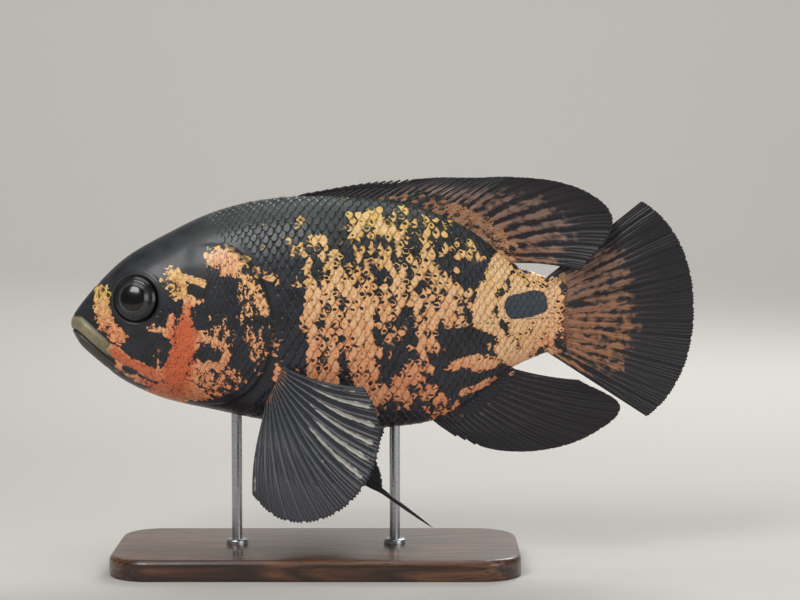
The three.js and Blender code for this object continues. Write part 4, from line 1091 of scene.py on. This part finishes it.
def tail_fin():
    share, out = fin_columns(TAIL, 0, TAIL["rays"])
    ridge = ray_ridges(share, out, 0, TAIL["rays"], 6)
    back, belly, *_ = section(np.array(STANDARD_LENGTH))
    start = STANDARD_LENGTH - 1.2
    high = belly + 0.4 + (back - belly - 0.8) * share
    angle = np.radians(TAIL["lower"] + (TAIL["upper"] - TAIL["lower"]) * share)
    lengths = TAIL["middle"] + (TAIL["corner"] - TAIL["middle"]) * np.abs(2 * share - 1) ** 2.4
    lengths = lengths * (0.992 + 0.008 * ridge[-1]) + 1.2
    x = start + lengths[None, :] * out[:, None] * np.cos(angle)[None, :]
    wave = TAIL["wave"] * np.sin(math.pi * 1.6 * share)[None, :] * out[:, None] ** 2
    ripple = 0.4 * np.sin(share * 40.0)[None, :] * out[:, None] ** 2
    points = np.stack([x, midline(x) + wave + ripple, high + lengths * out[:, None] * np.sin(angle)[None, :]], -1)
    roundness = np.sqrt(np.maximum(0.07, 1 - (2 * share - 1) ** 2))[None, :]
    stout = (3.4 * roundness - 0.2) * (1 - smooth(0, 0.36, out))[:, None] ** 2
    half = 0.16 + 0.3 * (1 - out)[:, None] + np.maximum(0, stout)
    return points, half, ridge, share, out, fin_uv(share, out, TAIL["rays"], lengths)


def paired_fin(fin, side, root_x, root_out, root_z, spines, turn, longest=None):
    """The middle layer of a pectoral or pelvic fin, which swings outwards from the body as it goes."""
    share, out = fin_columns(fin, spines, fin["rays"] - spines)
    count = fin["rays"]
    ridge = ray_ridges(share, out, spines, count - spines, 7)
    lengths = along(fin["lengths"], share) + 2
    reach = out[:, None] * (0.985 + 0.015 * ridge[-1])[None, :]
    if longest is not None:
        webbed = 0.82
        extra = longest[1] / np.interp(longest[0], share, lengths)
        tip = bell((share - longest[0]) * count, 0.16)[None, :]
        stretch = webbed + (out[:, None] - webbed) / (1 - webbed) * (extra - webbed)
        reach = np.where(out[:, None] > webbed, reach + tip * (stretch - reach), reach)
    # The rays curve backwards as they go, and end where straight ones would
    angle = np.radians(along(fin["angles"], share)[None, :] + turn + fin.get("bend", 0) * (1 - out[:, None]) / 2)
    flare = math.radians(fin["flare"])
    length = lengths[None, :] * reach
    across = length * math.cos(flare)
    held = np.minimum(out, 1)[:, None]
    ripple = 0.45 * np.sin(share * 19.0)[None, :] * held ** 2
    sideways = root_out - 2 * math.cos(flare) + length * math.sin(flare) + fin["curl"] * held * (1 - held) + ripple
    points = np.stack(np.broadcast_arrays(
        root_x + across * np.cos(angle), midline(root_x) + side * sideways, root_z - across * np.sin(angle)), -1)
    half = np.broadcast_to(taper(1.2, 0.14, out)[:, None], ridge.shape)
    return points, half, ridge, share, out, fin_uv(share, out, count, lengths)


class OscarSizes(bpy.types.PropertyGroup):
    """Sizes of the model that can be changed before it is built."""

    scale_pitch: FloatProperty(
        name="Scale spacing", description="Distance between neighbouring scales in the middle of the flank",
        default=0.0033, min=0.002, max=0.006, unit="LENGTH")
    scale_lift: FloatProperty(
        name="Scale lift", description="How far a scale's rear edge stands off the skin",
        default=0.00026, min=0.0, max=0.001, unit="LENGTH")
    rod_radius: FloatProperty(
        name="Rod radius", description="Radius of the stand's steel rods",
        default=(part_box("stand_rod_front")[1].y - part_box("stand_rod_front")[0].y) / 2, unit="LENGTH")
    base_corner: FloatProperty(
        name="Base corner", description="Radius of the stand's corners seen from above", default=0.016, unit="LENGTH")
    camera_distance: FloatProperty(
        name="Camera distance", description="From the camera to the fish's middle plane", default=0.8534,
        unit="LENGTH")
    camera_height: FloatProperty(
        name="Camera elevation", description="Angle of the camera above the level", default=math.radians(4.5),
        subtype="ANGLE")
    seed: IntProperty(name="Seed", description="Start of every random draw", default=11)


def picker(name, code, text):
    return FloatVectorProperty(name=name, description=text, size=4, subtype="COLOR", min=0, max=1,
                               default=colour(code))


class OscarColours(bpy.types.PropertyGroup):
    """Colours of the fish and of its stand."""

    charcoal: picker("Charcoal", "212328", "Ground colour of the side")
    back: picker("Back", "343b38", "Ground colour along the back")
    belly: picker("Belly", "2d2a33", "Ground colour of the underside")
    # This black is real black on the pupil and also painted shade in the skin's folds
    black_and_shade: picker("Ink", INK_CODE, "Black of the eye spot, the pupil and the folds")
    yellow: picker("Yellow", "d9b553", "Marks high on the side")
    peach: picker("Peach", "e6a86c", "Marks in the middle of the side")
    orange: picker("Orange", "e48f5c", "Marks low on the side")
    red: picker("Red orange", "cf582c", "Marks of the cheek")
    # The eye spot's slate grey is a painted sheen over its black
    eye_spot_sheen: picker("Eye spot", "39424b", "Slate grey of the false eye at the root of the tail")
    rust: picker("Rust", "8a3a1c", "Thin lines through the marks")
    # Light peach is partly paler pigment and partly a painted highlight in the marks
    pale_peach_and_highlight: picker("Light peach", "f8d8b0", "Middle of a broad mark")
    cream: picker("Cream", "938868", "The lips")
    fin_dark: picker("Fin membrane", "1d1b20", "Dark membrane of the fins")
    fin_ray: picker("Fin ray", "332f33", "Rays in the dark part of a fin")
    fin_grey: picker("Fin grey", "77645c", "Lavender grey streaks of the fin along the back")
    fin_brown: picker("Fin brown", "99694b", "Brown orange streaks of the tail fin")
    slate: picker("Slate", "2a3038", "Membrane of the pectoral fins")
    ray_pale: picker("Pale ray", "a8a69c", "Pale rays of the pectoral fins")
    iris: picker("Iris", "2e3035", "Iris of the eye")
    iris_dark: picker("Dark iris", "17181b", "Outer part of the iris")
    iris_ring: picker("Iris ring", "473a30", "Thin ring round the pupil")
    wood: picker("Wood", "4a2c1b", "Stained wood of the base")
    wood_dark: picker("Dark wood", "24130b", "Pores and late wood of the base")
    wood_light: picker("Light wood", "6b432a", "Early wood of the base")
    steel: picker("Steel", "b4b7ba", "Brushed steel of the rods")
    floor: picker("Floor", "bdbab5", "Pale floor")


class OSCAR_OT_skin(bpy.types.Operator):
    """One skin over head, lips, jaw, gill covers, trunk and tail stalk"""

    bl_idname = "oscar.skin"
    bl_label = "Skin"

    def execute(self, context):
        t = np.linspace(0, 1, HALF_RING + 1)
        x = np.repeat(RING_X[:, None], HALF_RING + 1, 1)
        left = body_point(x, np.repeat(t[None, :], len(RING_X), 0), -1)
        right = body_point(x, np.repeat(t[None, :], len(RING_X), 0), 1)[:, ::-1]
        piece = lay_grid("skin", np.concatenate([left, right[:, 1:]], axis=1))
        face_outward(piece, closing=True)
        found = fish_frame(piece)
        side = np.where(found[:, 1] > midline(found[:, 0]), 1, -1)
        store(piece, "marks", marks(found[:, 0], found[:, 2], side), "FLOAT_COLOR")
        finish_piece(
            piece, hide_material("Hide_smooth_moist", context.scene.oscar_colours, plated=False), "skin",
            "head", "upper_lip", "lower_jaw", "trunk", "tail_stalk", "gill_cover_left", "gill_cover_right")
        return {"FINISHED"}


class OSCAR_OT_scales(bpy.types.Operator):
    """Overlapping scale plates on the trunk, the gill covers and the cheeks"""

    bl_idname = "oscar.scales"
    bl_label = "Scales"

    def execute(self, context):
        sizes = context.scene.oscar_sizes
        material = hide_material("Hide_scaled_moist", context.scene.oscar_colours, plated=True)
        pitch = sizes.scale_pitch * 1000
        lift = sizes.scale_lift * 1000
        for side, label in ((-1, "left"), (1, "right")):
            body = lattice(pitch, 44, STANDARD_LENGTH + 1, sizes.seed + side)
            z = from_table(HIGHS, np.minimum(body[:, 0], STANDARD_LENGTH), body[:, 1])
            gill = to_line(body[:, 0], z, GILL_EDGE, closed=True)
            front = np.interp(z, [-45, -33, -30, 26, 34, 60], [56, 60, 64, 58, 49, 43])
            body = np.column_stack([body, 0.3 + 0.7 * smooth(0, 16, body[:, 0] - front)])
            trunk = body[(body[:, 0] > front) & (gill > 0.9)]
            small = lattice(pitch * 0.8, 24, 80, sizes.seed + 5 + side)
            z = from_table(HIGHS, small[:, 0], small[:, 1])
            gill = to_line(small[:, 0], z, GILL_EDGE, closed=True)
            cheek = to_line(small[:, 0], z, CHEEK_PATCH, closed=True) < 0
            cover = (gill < -5.0) & (small[:, 0] > 46.5) & (z > -26)
            on_head = np.column_stack([small, np.ones(len(small))])[cheek | cover]
            add_plates("scales_" + label, [(trunk, lift)], side, material, "skin")
            add_plates("head_scales_" + label, [(on_head, 0.45 * lift)], side, material, "skin")
            print("plates", label, len(trunk), len(on_head))
        return {"FINISHED"}


CHEEK_PATCH = [(27, -9), (33, 1), (40, 5), (41.5, -2), (40.5, -11), (37, -18), (30, -21), (25.5, -16)]
MASTER_PLATE = plate_master()


class OSCAR_OT_eyes(bpy.types.Operator):
    """Two eyeballs with a bulging lens and a slightly sunken iris"""

    bl_idname = "oscar.eyes"
    bl_label = "Eyes"

    def execute(self, context):
        material = eye_material(context.scene.oscar_colours)
        for side, label in ((-1, "left"), (1, "right")):
            low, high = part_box("eye_" + label)
            deselect_all()
            bpy.ops.mesh.primitive_uv_sphere_add(segments=72, ring_count=48, radius=1)
            piece = bpy.context.object
            piece.name = piece.data.name = "eyeball_" + label
            ball = np.array([v.co for v in piece.data.vertices], float)
            # The sphere's pole becomes the middle of the pupil
            outward, right, up = ball[:, 2], ball[:, 0], ball[:, 1]
            away = np.hypot(right, up)
            front = outward > 0
            bulge = np.where(front, 0.42 * smooth(0.60, 0.50, away) - 0.30 * bell(away - 0.66, 0.09), 0.0)
            local = np.stack([right * EYE["radius"], outward * EYE["depth"] + bulge, up * EYE["radius"]], -1)
            local[:, 1] *= side
            turn = (Matrix.Rotation(side * math.radians(EYE_TURN["forward"]), 3, "Z")
                    @ Matrix.Rotation(side * math.radians(EYE_TURN["upward"]), 3, "X"))
            placed = local @ np.array(turn).T / 1000 + np.array((low + high) / 2)
            piece.data.vertices.foreach_set("co", placed.astype(np.float32).ravel())
            store_uv(piece, "Iris", np.stack([right, up], -1) + np.where(front, 0, 4)[:, None])
            face_outward(piece)
            finish_piece(piece, material, "eye", "eye_" + label)
        return {"FINISHED"}


def scaled_root(name, fin, span, depth, size, paint):
    """Small scales over a fin's root. paint gives their marks from places outwards and along the root."""
    points, half, ridge = fin[:3]
    half = half + RIDGE * ridge
    piece, places, (out, share), count = add_fin_plates(name, points, half, *span, depth, size)
    draw = np.random.default_rng(23)
    painted = np.stack(np.broadcast_arrays(*paint(out, share)), -1)
    store(piece, "marks", np.tile(painted.reshape(-1, 4), (2, 1)), "FLOAT_COLOR")
    draws = np.column_stack([draw.random((2 * len(places), 3)), np.zeros(2 * len(places))])
    store(piece, "plate_chance", np.repeat(draws, count, 0), "FLOAT_COLOR")
    u, v, _, _ = MASTER_PLATE
    store_uv(piece, "Plate", np.tile(np.stack([(u + 1) / 2, v], -1), (2 * len(places), 1)))
    roots = np.tile(places / [points.shape[1], 60.0], (2, 1))
    roots[:, 1] = 0.02 + 0.3 * roots[:, 1] + 0.5 * (np.arange(len(roots)) >= len(places))
    baked = roots[:, None] * [0.9, 1.0] + [0.05, 0] + 0.0015 * np.stack([u, 2 * v - 1], -1)[None]
    store_uv(piece, "OFBake", baked.reshape(-1, 2))
    return finish_piece(piece, bpy.data.materials["Hide_scaled_moist"], "fin")


def ray_bands(share, count, width=0.3):
    """1 along the middle of every ray, falling to 0 between rays."""
    return bell((share * count) % 1.0 - 0.5, width)


class OSCAR_OT_median_fins(bpy.types.Operator):
    """The long fin along the back and the anal fin"""

    bl_idname = "oscar.median_fins"
    bl_label = "Back and anal fins"

    def execute(self, context):
        c = context.scene.oscar_colours
        material = fin_material("Fin_ribbed_membrane", (c.fin_dark, c.fin_ray), (c.fin_grey, c.fin_brown))
        fin = median_fin(DORSAL, 1)
        share, out = fin[3][None, :], fin[4][:, None]
        bands = ray_bands(share, DORSAL["spines"] + DORSAL["rays"])
        tone = (0.25 + 0.5 * bands) * smooth(0.92, 0.55, out) * smooth(0.25, 0.58, share)
        tone = tone + 0.25 * smooth(0.3, 0.1, out) * smooth(0.4, 0.6, share)
        warmth = 0.25 + 0.5 * smooth(0.5, 0.05, out) * smooth(0.5, 0.85, share) + 0.4 * smooth(0.86, 1, share)
        make_fin("back_fin", fin, (tone, warmth, 0.5 * smooth(0.6, 0.95, out)), material, "dorsal_fin")
        scaled_root("back_fin_scales", fin, (0.42, 0.99), 10, 2.2, lambda out, share: (
            0.36 + 0.2 * smooth(0.55, 0.8, share), 0.55, 0.58 - 0.2 * smooth(0.85, 1.0, share), 0.0))

        fin = median_fin(ANAL, -1)
        share, out = fin[3][None, :], fin[4][:, None]
        bands = ray_bands(share, ANAL["spines"] + ANAL["rays"])
        tone = (0.1 + 0.25 * bands) * smooth(0.7, 0.1, out) * smooth(0.1, 0.5, share)
        make_fin("under_fin", fin, (tone, 0.2, 0.4 * smooth(0.4, 0.9, out)), material, "anal_fin")
        scaled_root("under_fin_scales", fin, (0.12, 0.99), 6, 2.1, lambda out, share: (
            0.42 * smooth(0.75, 1.0, share) * smooth(0.2, 0.08, out), 0.5, 0.35, 0.0))
        return {"FINISHED"}


class OSCAR_OT_tail(bpy.types.Operator):
    """The tail fin"""

    bl_idname = "oscar.tail"
    bl_label = "Tail fin"

    def execute(self, context):
        material = bpy.data.materials["Fin_ribbed_membrane"]
        fin = tail_fin()
        share, out = fin[3][None, :], fin[4][:, None]
        bands = ray_bands(share, TAIL["rays"])
        middle = smooth(0.02, 0.16, share) * smooth(1.0, 0.84, share)
        tone = (0.42 + 0.34 * bands) * smooth(0.74, 0.5, out) * middle
        tone = tone + 0.16 * smooth(0.4, 0.1, out) * middle
        tone = np.maximum(tone, 0.85 * smooth(0.62, 0.2, out) * bell(share - 0.035, 0.03))
        warmth = 0.5 + 0.5 * smooth(0.75, 0.35, share) + 0.3 * smooth(0.25, 0.1, out)
        dark = 0.55 * smooth(0.58, 0.85, out) * np.ones_like(share)
        dark = np.maximum(dark, root_spot(out, share))
        dark = np.maximum(dark, 0.8 * bell(share - 0.61 - 0.02 * out, 0.014) * smooth(0.75, 0.6, out))
        dark = np.maximum(dark, 0.6 * bell(share - 0.27, 0.016) * bell(out - 0.12, 0.12))
        make_fin("tail_fan", fin, (tone, warmth, dark), material, "tail_fin")
        scaled_root("tail_scales", fin, (0.045, 0.955), 9, 2.1, lambda out, share: (
            0.70 - 0.12 * smooth(0.05, 0.2, out), 0.3 + 0.3 * smooth(0.8, 0.3, share) + smooth(0.04, 0.2, out) * 0.2,
            np.maximum(0.1 + 0.5 * smooth(0.03, 0.15, out), root_spot(out, share)), 0.0))
        return {"FINISHED"}


def root_spot(out, share):
    """The small black spot behind the eye spot, just past the last scales of the tail's root."""
    return 0.95 * smooth(0.052, 0.034, np.hypot((out - 0.20) / 1.7, share - 0.585))


class OSCAR_OT_paired_fins(bpy.types.Operator):
    """Pectoral and pelvic fins of both sides"""

    bl_idname = "oscar.paired_fins"
    bl_label = "Paired fins"

    def execute(self, context):
        c = context.scene.oscar_colours
        web = fin_material("Fin_pectoral_membrane", (c.slate, c.fin_ray), (c.ray_pale, c.fin_brown), 0.82)
        dark_web = fin_material("Fin_pelvic_membrane", (c.fin_dark, c.fin_ray), (c.fin_grey, c.fin_brown))
        for side, label, pectoral_turn, pelvic_turn in ((-1, "left", 0, 0), (1, "right", -8, 4)):
            share, _ = fin_columns(PECTORAL, 0, PECTORAL["rays"])
            root_x = PECTORAL["x"][0] + (PECTORAL["x"][1] - PECTORAL["x"][0]) * share
            root_z = PECTORAL["z"][0] + (PECTORAL["z"][1] - PECTORAL["z"][0]) * share
            fin = paired_fin(PECTORAL, side, root_x, half_width(root_x, root_z), root_z, 0, pectoral_turn)
            share, out = fin[3][None, :], fin[4][:, None]
            # The upper rays are pale towards their tips, and one ray near the front
            chosen = smooth(0.0, 0.08, share) * smooth(0.5, 0.36, share) + 0.8 * bell(share - 0.94, 0.035)
            tone = 1.1 * chosen * ray_bands(share, PECTORAL["rays"], 0.15) * smooth(0.3, 0.55, out)
            tone = tone * smooth(1.02, 0.9, out) + 0.45 * smooth(0.22, 0.04, out)
            make_fin("pectoral_fan_" + label, fin, (tone, smooth(0.3, 0.1, out), 0.0), web,
                     "pectoral_fin_" + label)

            share, _ = fin_columns(PELVIC, 1, PELVIC["rays"] - 1)
            root_x = PELVIC["x"][0] + (PELVIC["x"][1] - PELVIC["x"][0]) * share
            root_out = PELVIC["side"][0] + (PELVIC["side"][1] - PELVIC["side"][0]) * share
            fin = paired_fin(PELVIC, side, root_x, root_out, belly_at(root_x, root_out) + 1.4, 1, pelvic_turn,
                             longest=(1.5 / PELVIC["rays"], PELVIC["filament"]))
            out = fin[4][:, None]
            make_fin("pelvic_fan_" + label, fin, (0.3 * smooth(0.5, 0.1, out), 0.2, 0.3 * out), dark_web,
                     "pelvic_fin_" + label)
        return {"FINISHED"}


class OSCAR_OT_stand(bpy.types.Operator):
    """The wooden base and its two steel rods with collars"""

    bl_idname = "oscar.stand"
    bl_label = "Stand"

    def execute(self, context):
        sizes = context.scene.oscar_sizes
        colours = context.scene.oscar_colours
        low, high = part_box("stand_base")
        deselect_all()
        bpy.ops.mesh.primitive_cube_add(size=1, location=(low + high) / 2, scale=high - low)
        base = bpy.context.object
        base.name = base.data.name = "wooden_base"
        bpy.ops.object.transform_apply(location=True, rotation=True, scale=True)
        bevel_edges(base, lambda a, b: abs(a.z - b.z) > 1e-6, sizes.base_corner, 14)
        bevel_edges(base, lambda a, b: min(a.z, b.z) > high.z - 1e-6, 0.0022, 5)
        bevel_edges(base, lambda a, b: max(a.z, b.z) < low.z + 1e-6, 0.0008, 2)
        finish_piece(base, wood_material(colours), "wood", "stand_base")
        bpy.ops.object.shade_smooth_by_angle(angle=math.radians(35))

        steel = steel_material(colours)
        for place in ("front", "rear"):
            bottom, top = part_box("stand_rod_" + place)
            middle = (bottom + top) / 2
            foot = high.z - 0.001
            deselect_all()
            bpy.ops.mesh.primitive_cylinder_add(
                vertices=48, radius=sizes.rod_radius, depth=top.z - foot, location=(middle.x, middle.y, (top.z + foot) / 2))
            rod = bpy.context.object
            rod.name = rod.data.name = "steel_rod_" + place
            bpy.ops.object.transform_apply(location=True, rotation=True, scale=True)
            bpy.ops.mesh.primitive_cylinder_add(
                vertices=48, radius=sizes.rod_radius * 2.1, depth=0.0024, location=(middle.x, middle.y, high.z + 0.0008))
            collar = bpy.context.object
            collar.name = collar.data.name = "rod_collar_" + place
            bpy.ops.object.transform_apply(location=True, rotation=True, scale=True)
            rim = collar.data.vertices[0].co.z + 0.0024
            bevel_edges(collar, lambda a, b: min(a.z, b.z) > rim - 1e-4, 0.0007, 3)
            finish_piece(rod, steel, "steel", "stand_rod_" + place)
            bpy.ops.object.shade_smooth_by_angle(angle=math.radians(35))
            finish_piece(collar, steel, "steel")
            bpy.ops.object.shade_smooth_by_angle(angle=math.radians(35))
        return {"FINISHED"}


def bevel_edges(piece, chosen, width, segments):
    """Rounds the edges whose two ends pass a test."""
    deselect_all()
    bpy.context.view_layer.objects.active = piece
    piece.select_set(True)
    bpy.ops.object.mode_set(mode="EDIT")
    bpy.ops.mesh.select_mode(type="EDGE")
    bpy.ops.mesh.select_all(action="DESELECT")
    bpy.ops.object.mode_set(mode="OBJECT")
    for edge in piece.data.edges:
        a, b = (piece.data.vertices[i].co for i in edge.vertices)
        edge.select = bool(chosen(a, b))
    bpy.ops.object.mode_set(mode="EDIT")
    bpy.ops.mesh.bevel(offset=width, offset_type="OFFSET", segments=segments, affect="EDGES")
    bpy.ops.object.mode_set(mode="OBJECT")


class OSCAR_OT_stage(bpy.types.Operator):
    """Pale floor, soft studio lights and the camera"""

    bl_idname = "oscar.stage"
    bl_label = "Stage"

    def execute(self, context):
        sizes = context.scene.oscar_sizes
        deselect_all()
        # A round floor that sweeps up all about the model, so that no edge shows
        bpy.ops.mesh.primitive_grid_add(x_subdivisions=200, y_subdivisions=200, size=16)
        floor = bpy.context.object
        floor.name = floor.data.name = "floor"
        turn, bend = 1.7, 1.3
        for vertex in floor.data.vertices:
            away = vertex.co.xy.length
            if away > turn:
                angle = min((away - turn) / bend, math.pi / 2)
                rest = away - turn - angle * bend
                place = vertex.co.xy * (turn + bend * math.sin(angle)) / away
                vertex.co = (*place, bend * (1 - math.cos(angle)) + rest)
        material, tree, surface = new_material("Floor_matt_paint")
        surface.inputs["Base Color"].default_value = context.scene.oscar_colours.floor
        surface.inputs["Roughness"].default_value = 0.8
        floor.data.materials.append(material)
        bpy.ops.object.shade_smooth()

        lights = [
            ("key_light", (-0.45, -0.75, 0.85), 0.5, 7.8), ("fill_light", (0.75, -0.7, 0.35), 0.6, 2.8),
            ("rim_light", (0.35, 0.65, 0.75), 0.5, 6.0), ("top_light", (0.0, 0.0, 1.1), 0.8, 3.2),
            ("backdrop_light", (0.0, 1.0, 1.7), 1.4, 34.0),
        ]
        for name, place, size, watts in lights:
            aim = Vector((0, 2.9, 0.9) if name == "backdrop_light" else (0.02, 0, 0.1))
            bpy.ops.object.light_add(type="AREA", location=place)
            light = bpy.context.object
            light.name = name
            light.data.size = size
            light.data.energy = watts
            light.rotation_euler = (aim - Vector(place)).to_track_quat("-Z", "Y").to_euler()
        sky = bpy.data.worlds.new("Studio")
        sky.use_nodes = True
        sky.node_tree.nodes["Background"].inputs["Color"].default_value = (0.9, 0.93, 1.0, 1.0)
        sky.node_tree.nodes["Background"].inputs["Strength"].default_value = 0.46
        context.scene.world = sky

        # The picture's middle column and row, in millimetres of the fish's frame
        target = Vector(world([126.0, 0.0, 4.6]))
        tilt = sizes.camera_height
        place = target + sizes.camera_distance * Vector((0, -math.cos(tilt), math.sin(tilt)))
        bpy.ops.object.camera_add(location=place)
        camera = bpy.context.object
        camera.name = "camera"
        camera.data.lens = 100
        camera.data.sensor_width = 36
        camera.rotation_euler = (target - place).to_track_quat("-Z", "Y").to_euler()
        context.scene.camera = camera
        context.scene.view_settings.view_transform = "Standard"
        return {"FINISHED"}


class OSCAR_PT_panel(bpy.types.Panel):
    """Lists the pieces of the model"""

    bl_idname = "OSCAR_PT_panel"
    bl_label = "Oscar"
    bl_space_type = "VIEW_3D"
    bl_region_type = "UI"
    bl_category = "Oscar"

    def draw(self, context):
        sizes = context.scene.oscar_sizes
        for name in ("scale_pitch", "scale_lift", "rod_radius", "base_corner", "camera_distance", "camera_height"):
            self.layout.prop(sizes, name)
        for operator in OPERATORS:
            self.layout.operator(operator.bl_idname)


OPERATORS = (
    OSCAR_OT_skin, OSCAR_OT_scales, OSCAR_OT_eyes, OSCAR_OT_median_fins, OSCAR_OT_tail, OSCAR_OT_paired_fins,
    OSCAR_OT_stand, OSCAR_OT_stage,
)
CLASSES = (OscarSizes, OscarColours, *OPERATORS, OSCAR_PT_panel)


def register():
    for one in CLASSES:
        bpy.utils.register_class(one)
    bpy.types.Scene.oscar_sizes = PointerProperty(type=OscarSizes)
    bpy.types.Scene.oscar_colours = PointerProperty(type=OscarColours)


def unregister():
    del bpy.types.Scene.oscar_colours
    del bpy.types.Scene.oscar_sizes
    for one in reversed(CLASSES):
        bpy.utils.unregister_class(one)


def main():
    register()
    for operator in OPERATORS:
        group, name = operator.bl_idname.split(".")
        getattr(getattr(bpy.ops, group), name)()


if __name__ == "__main__":
    main()
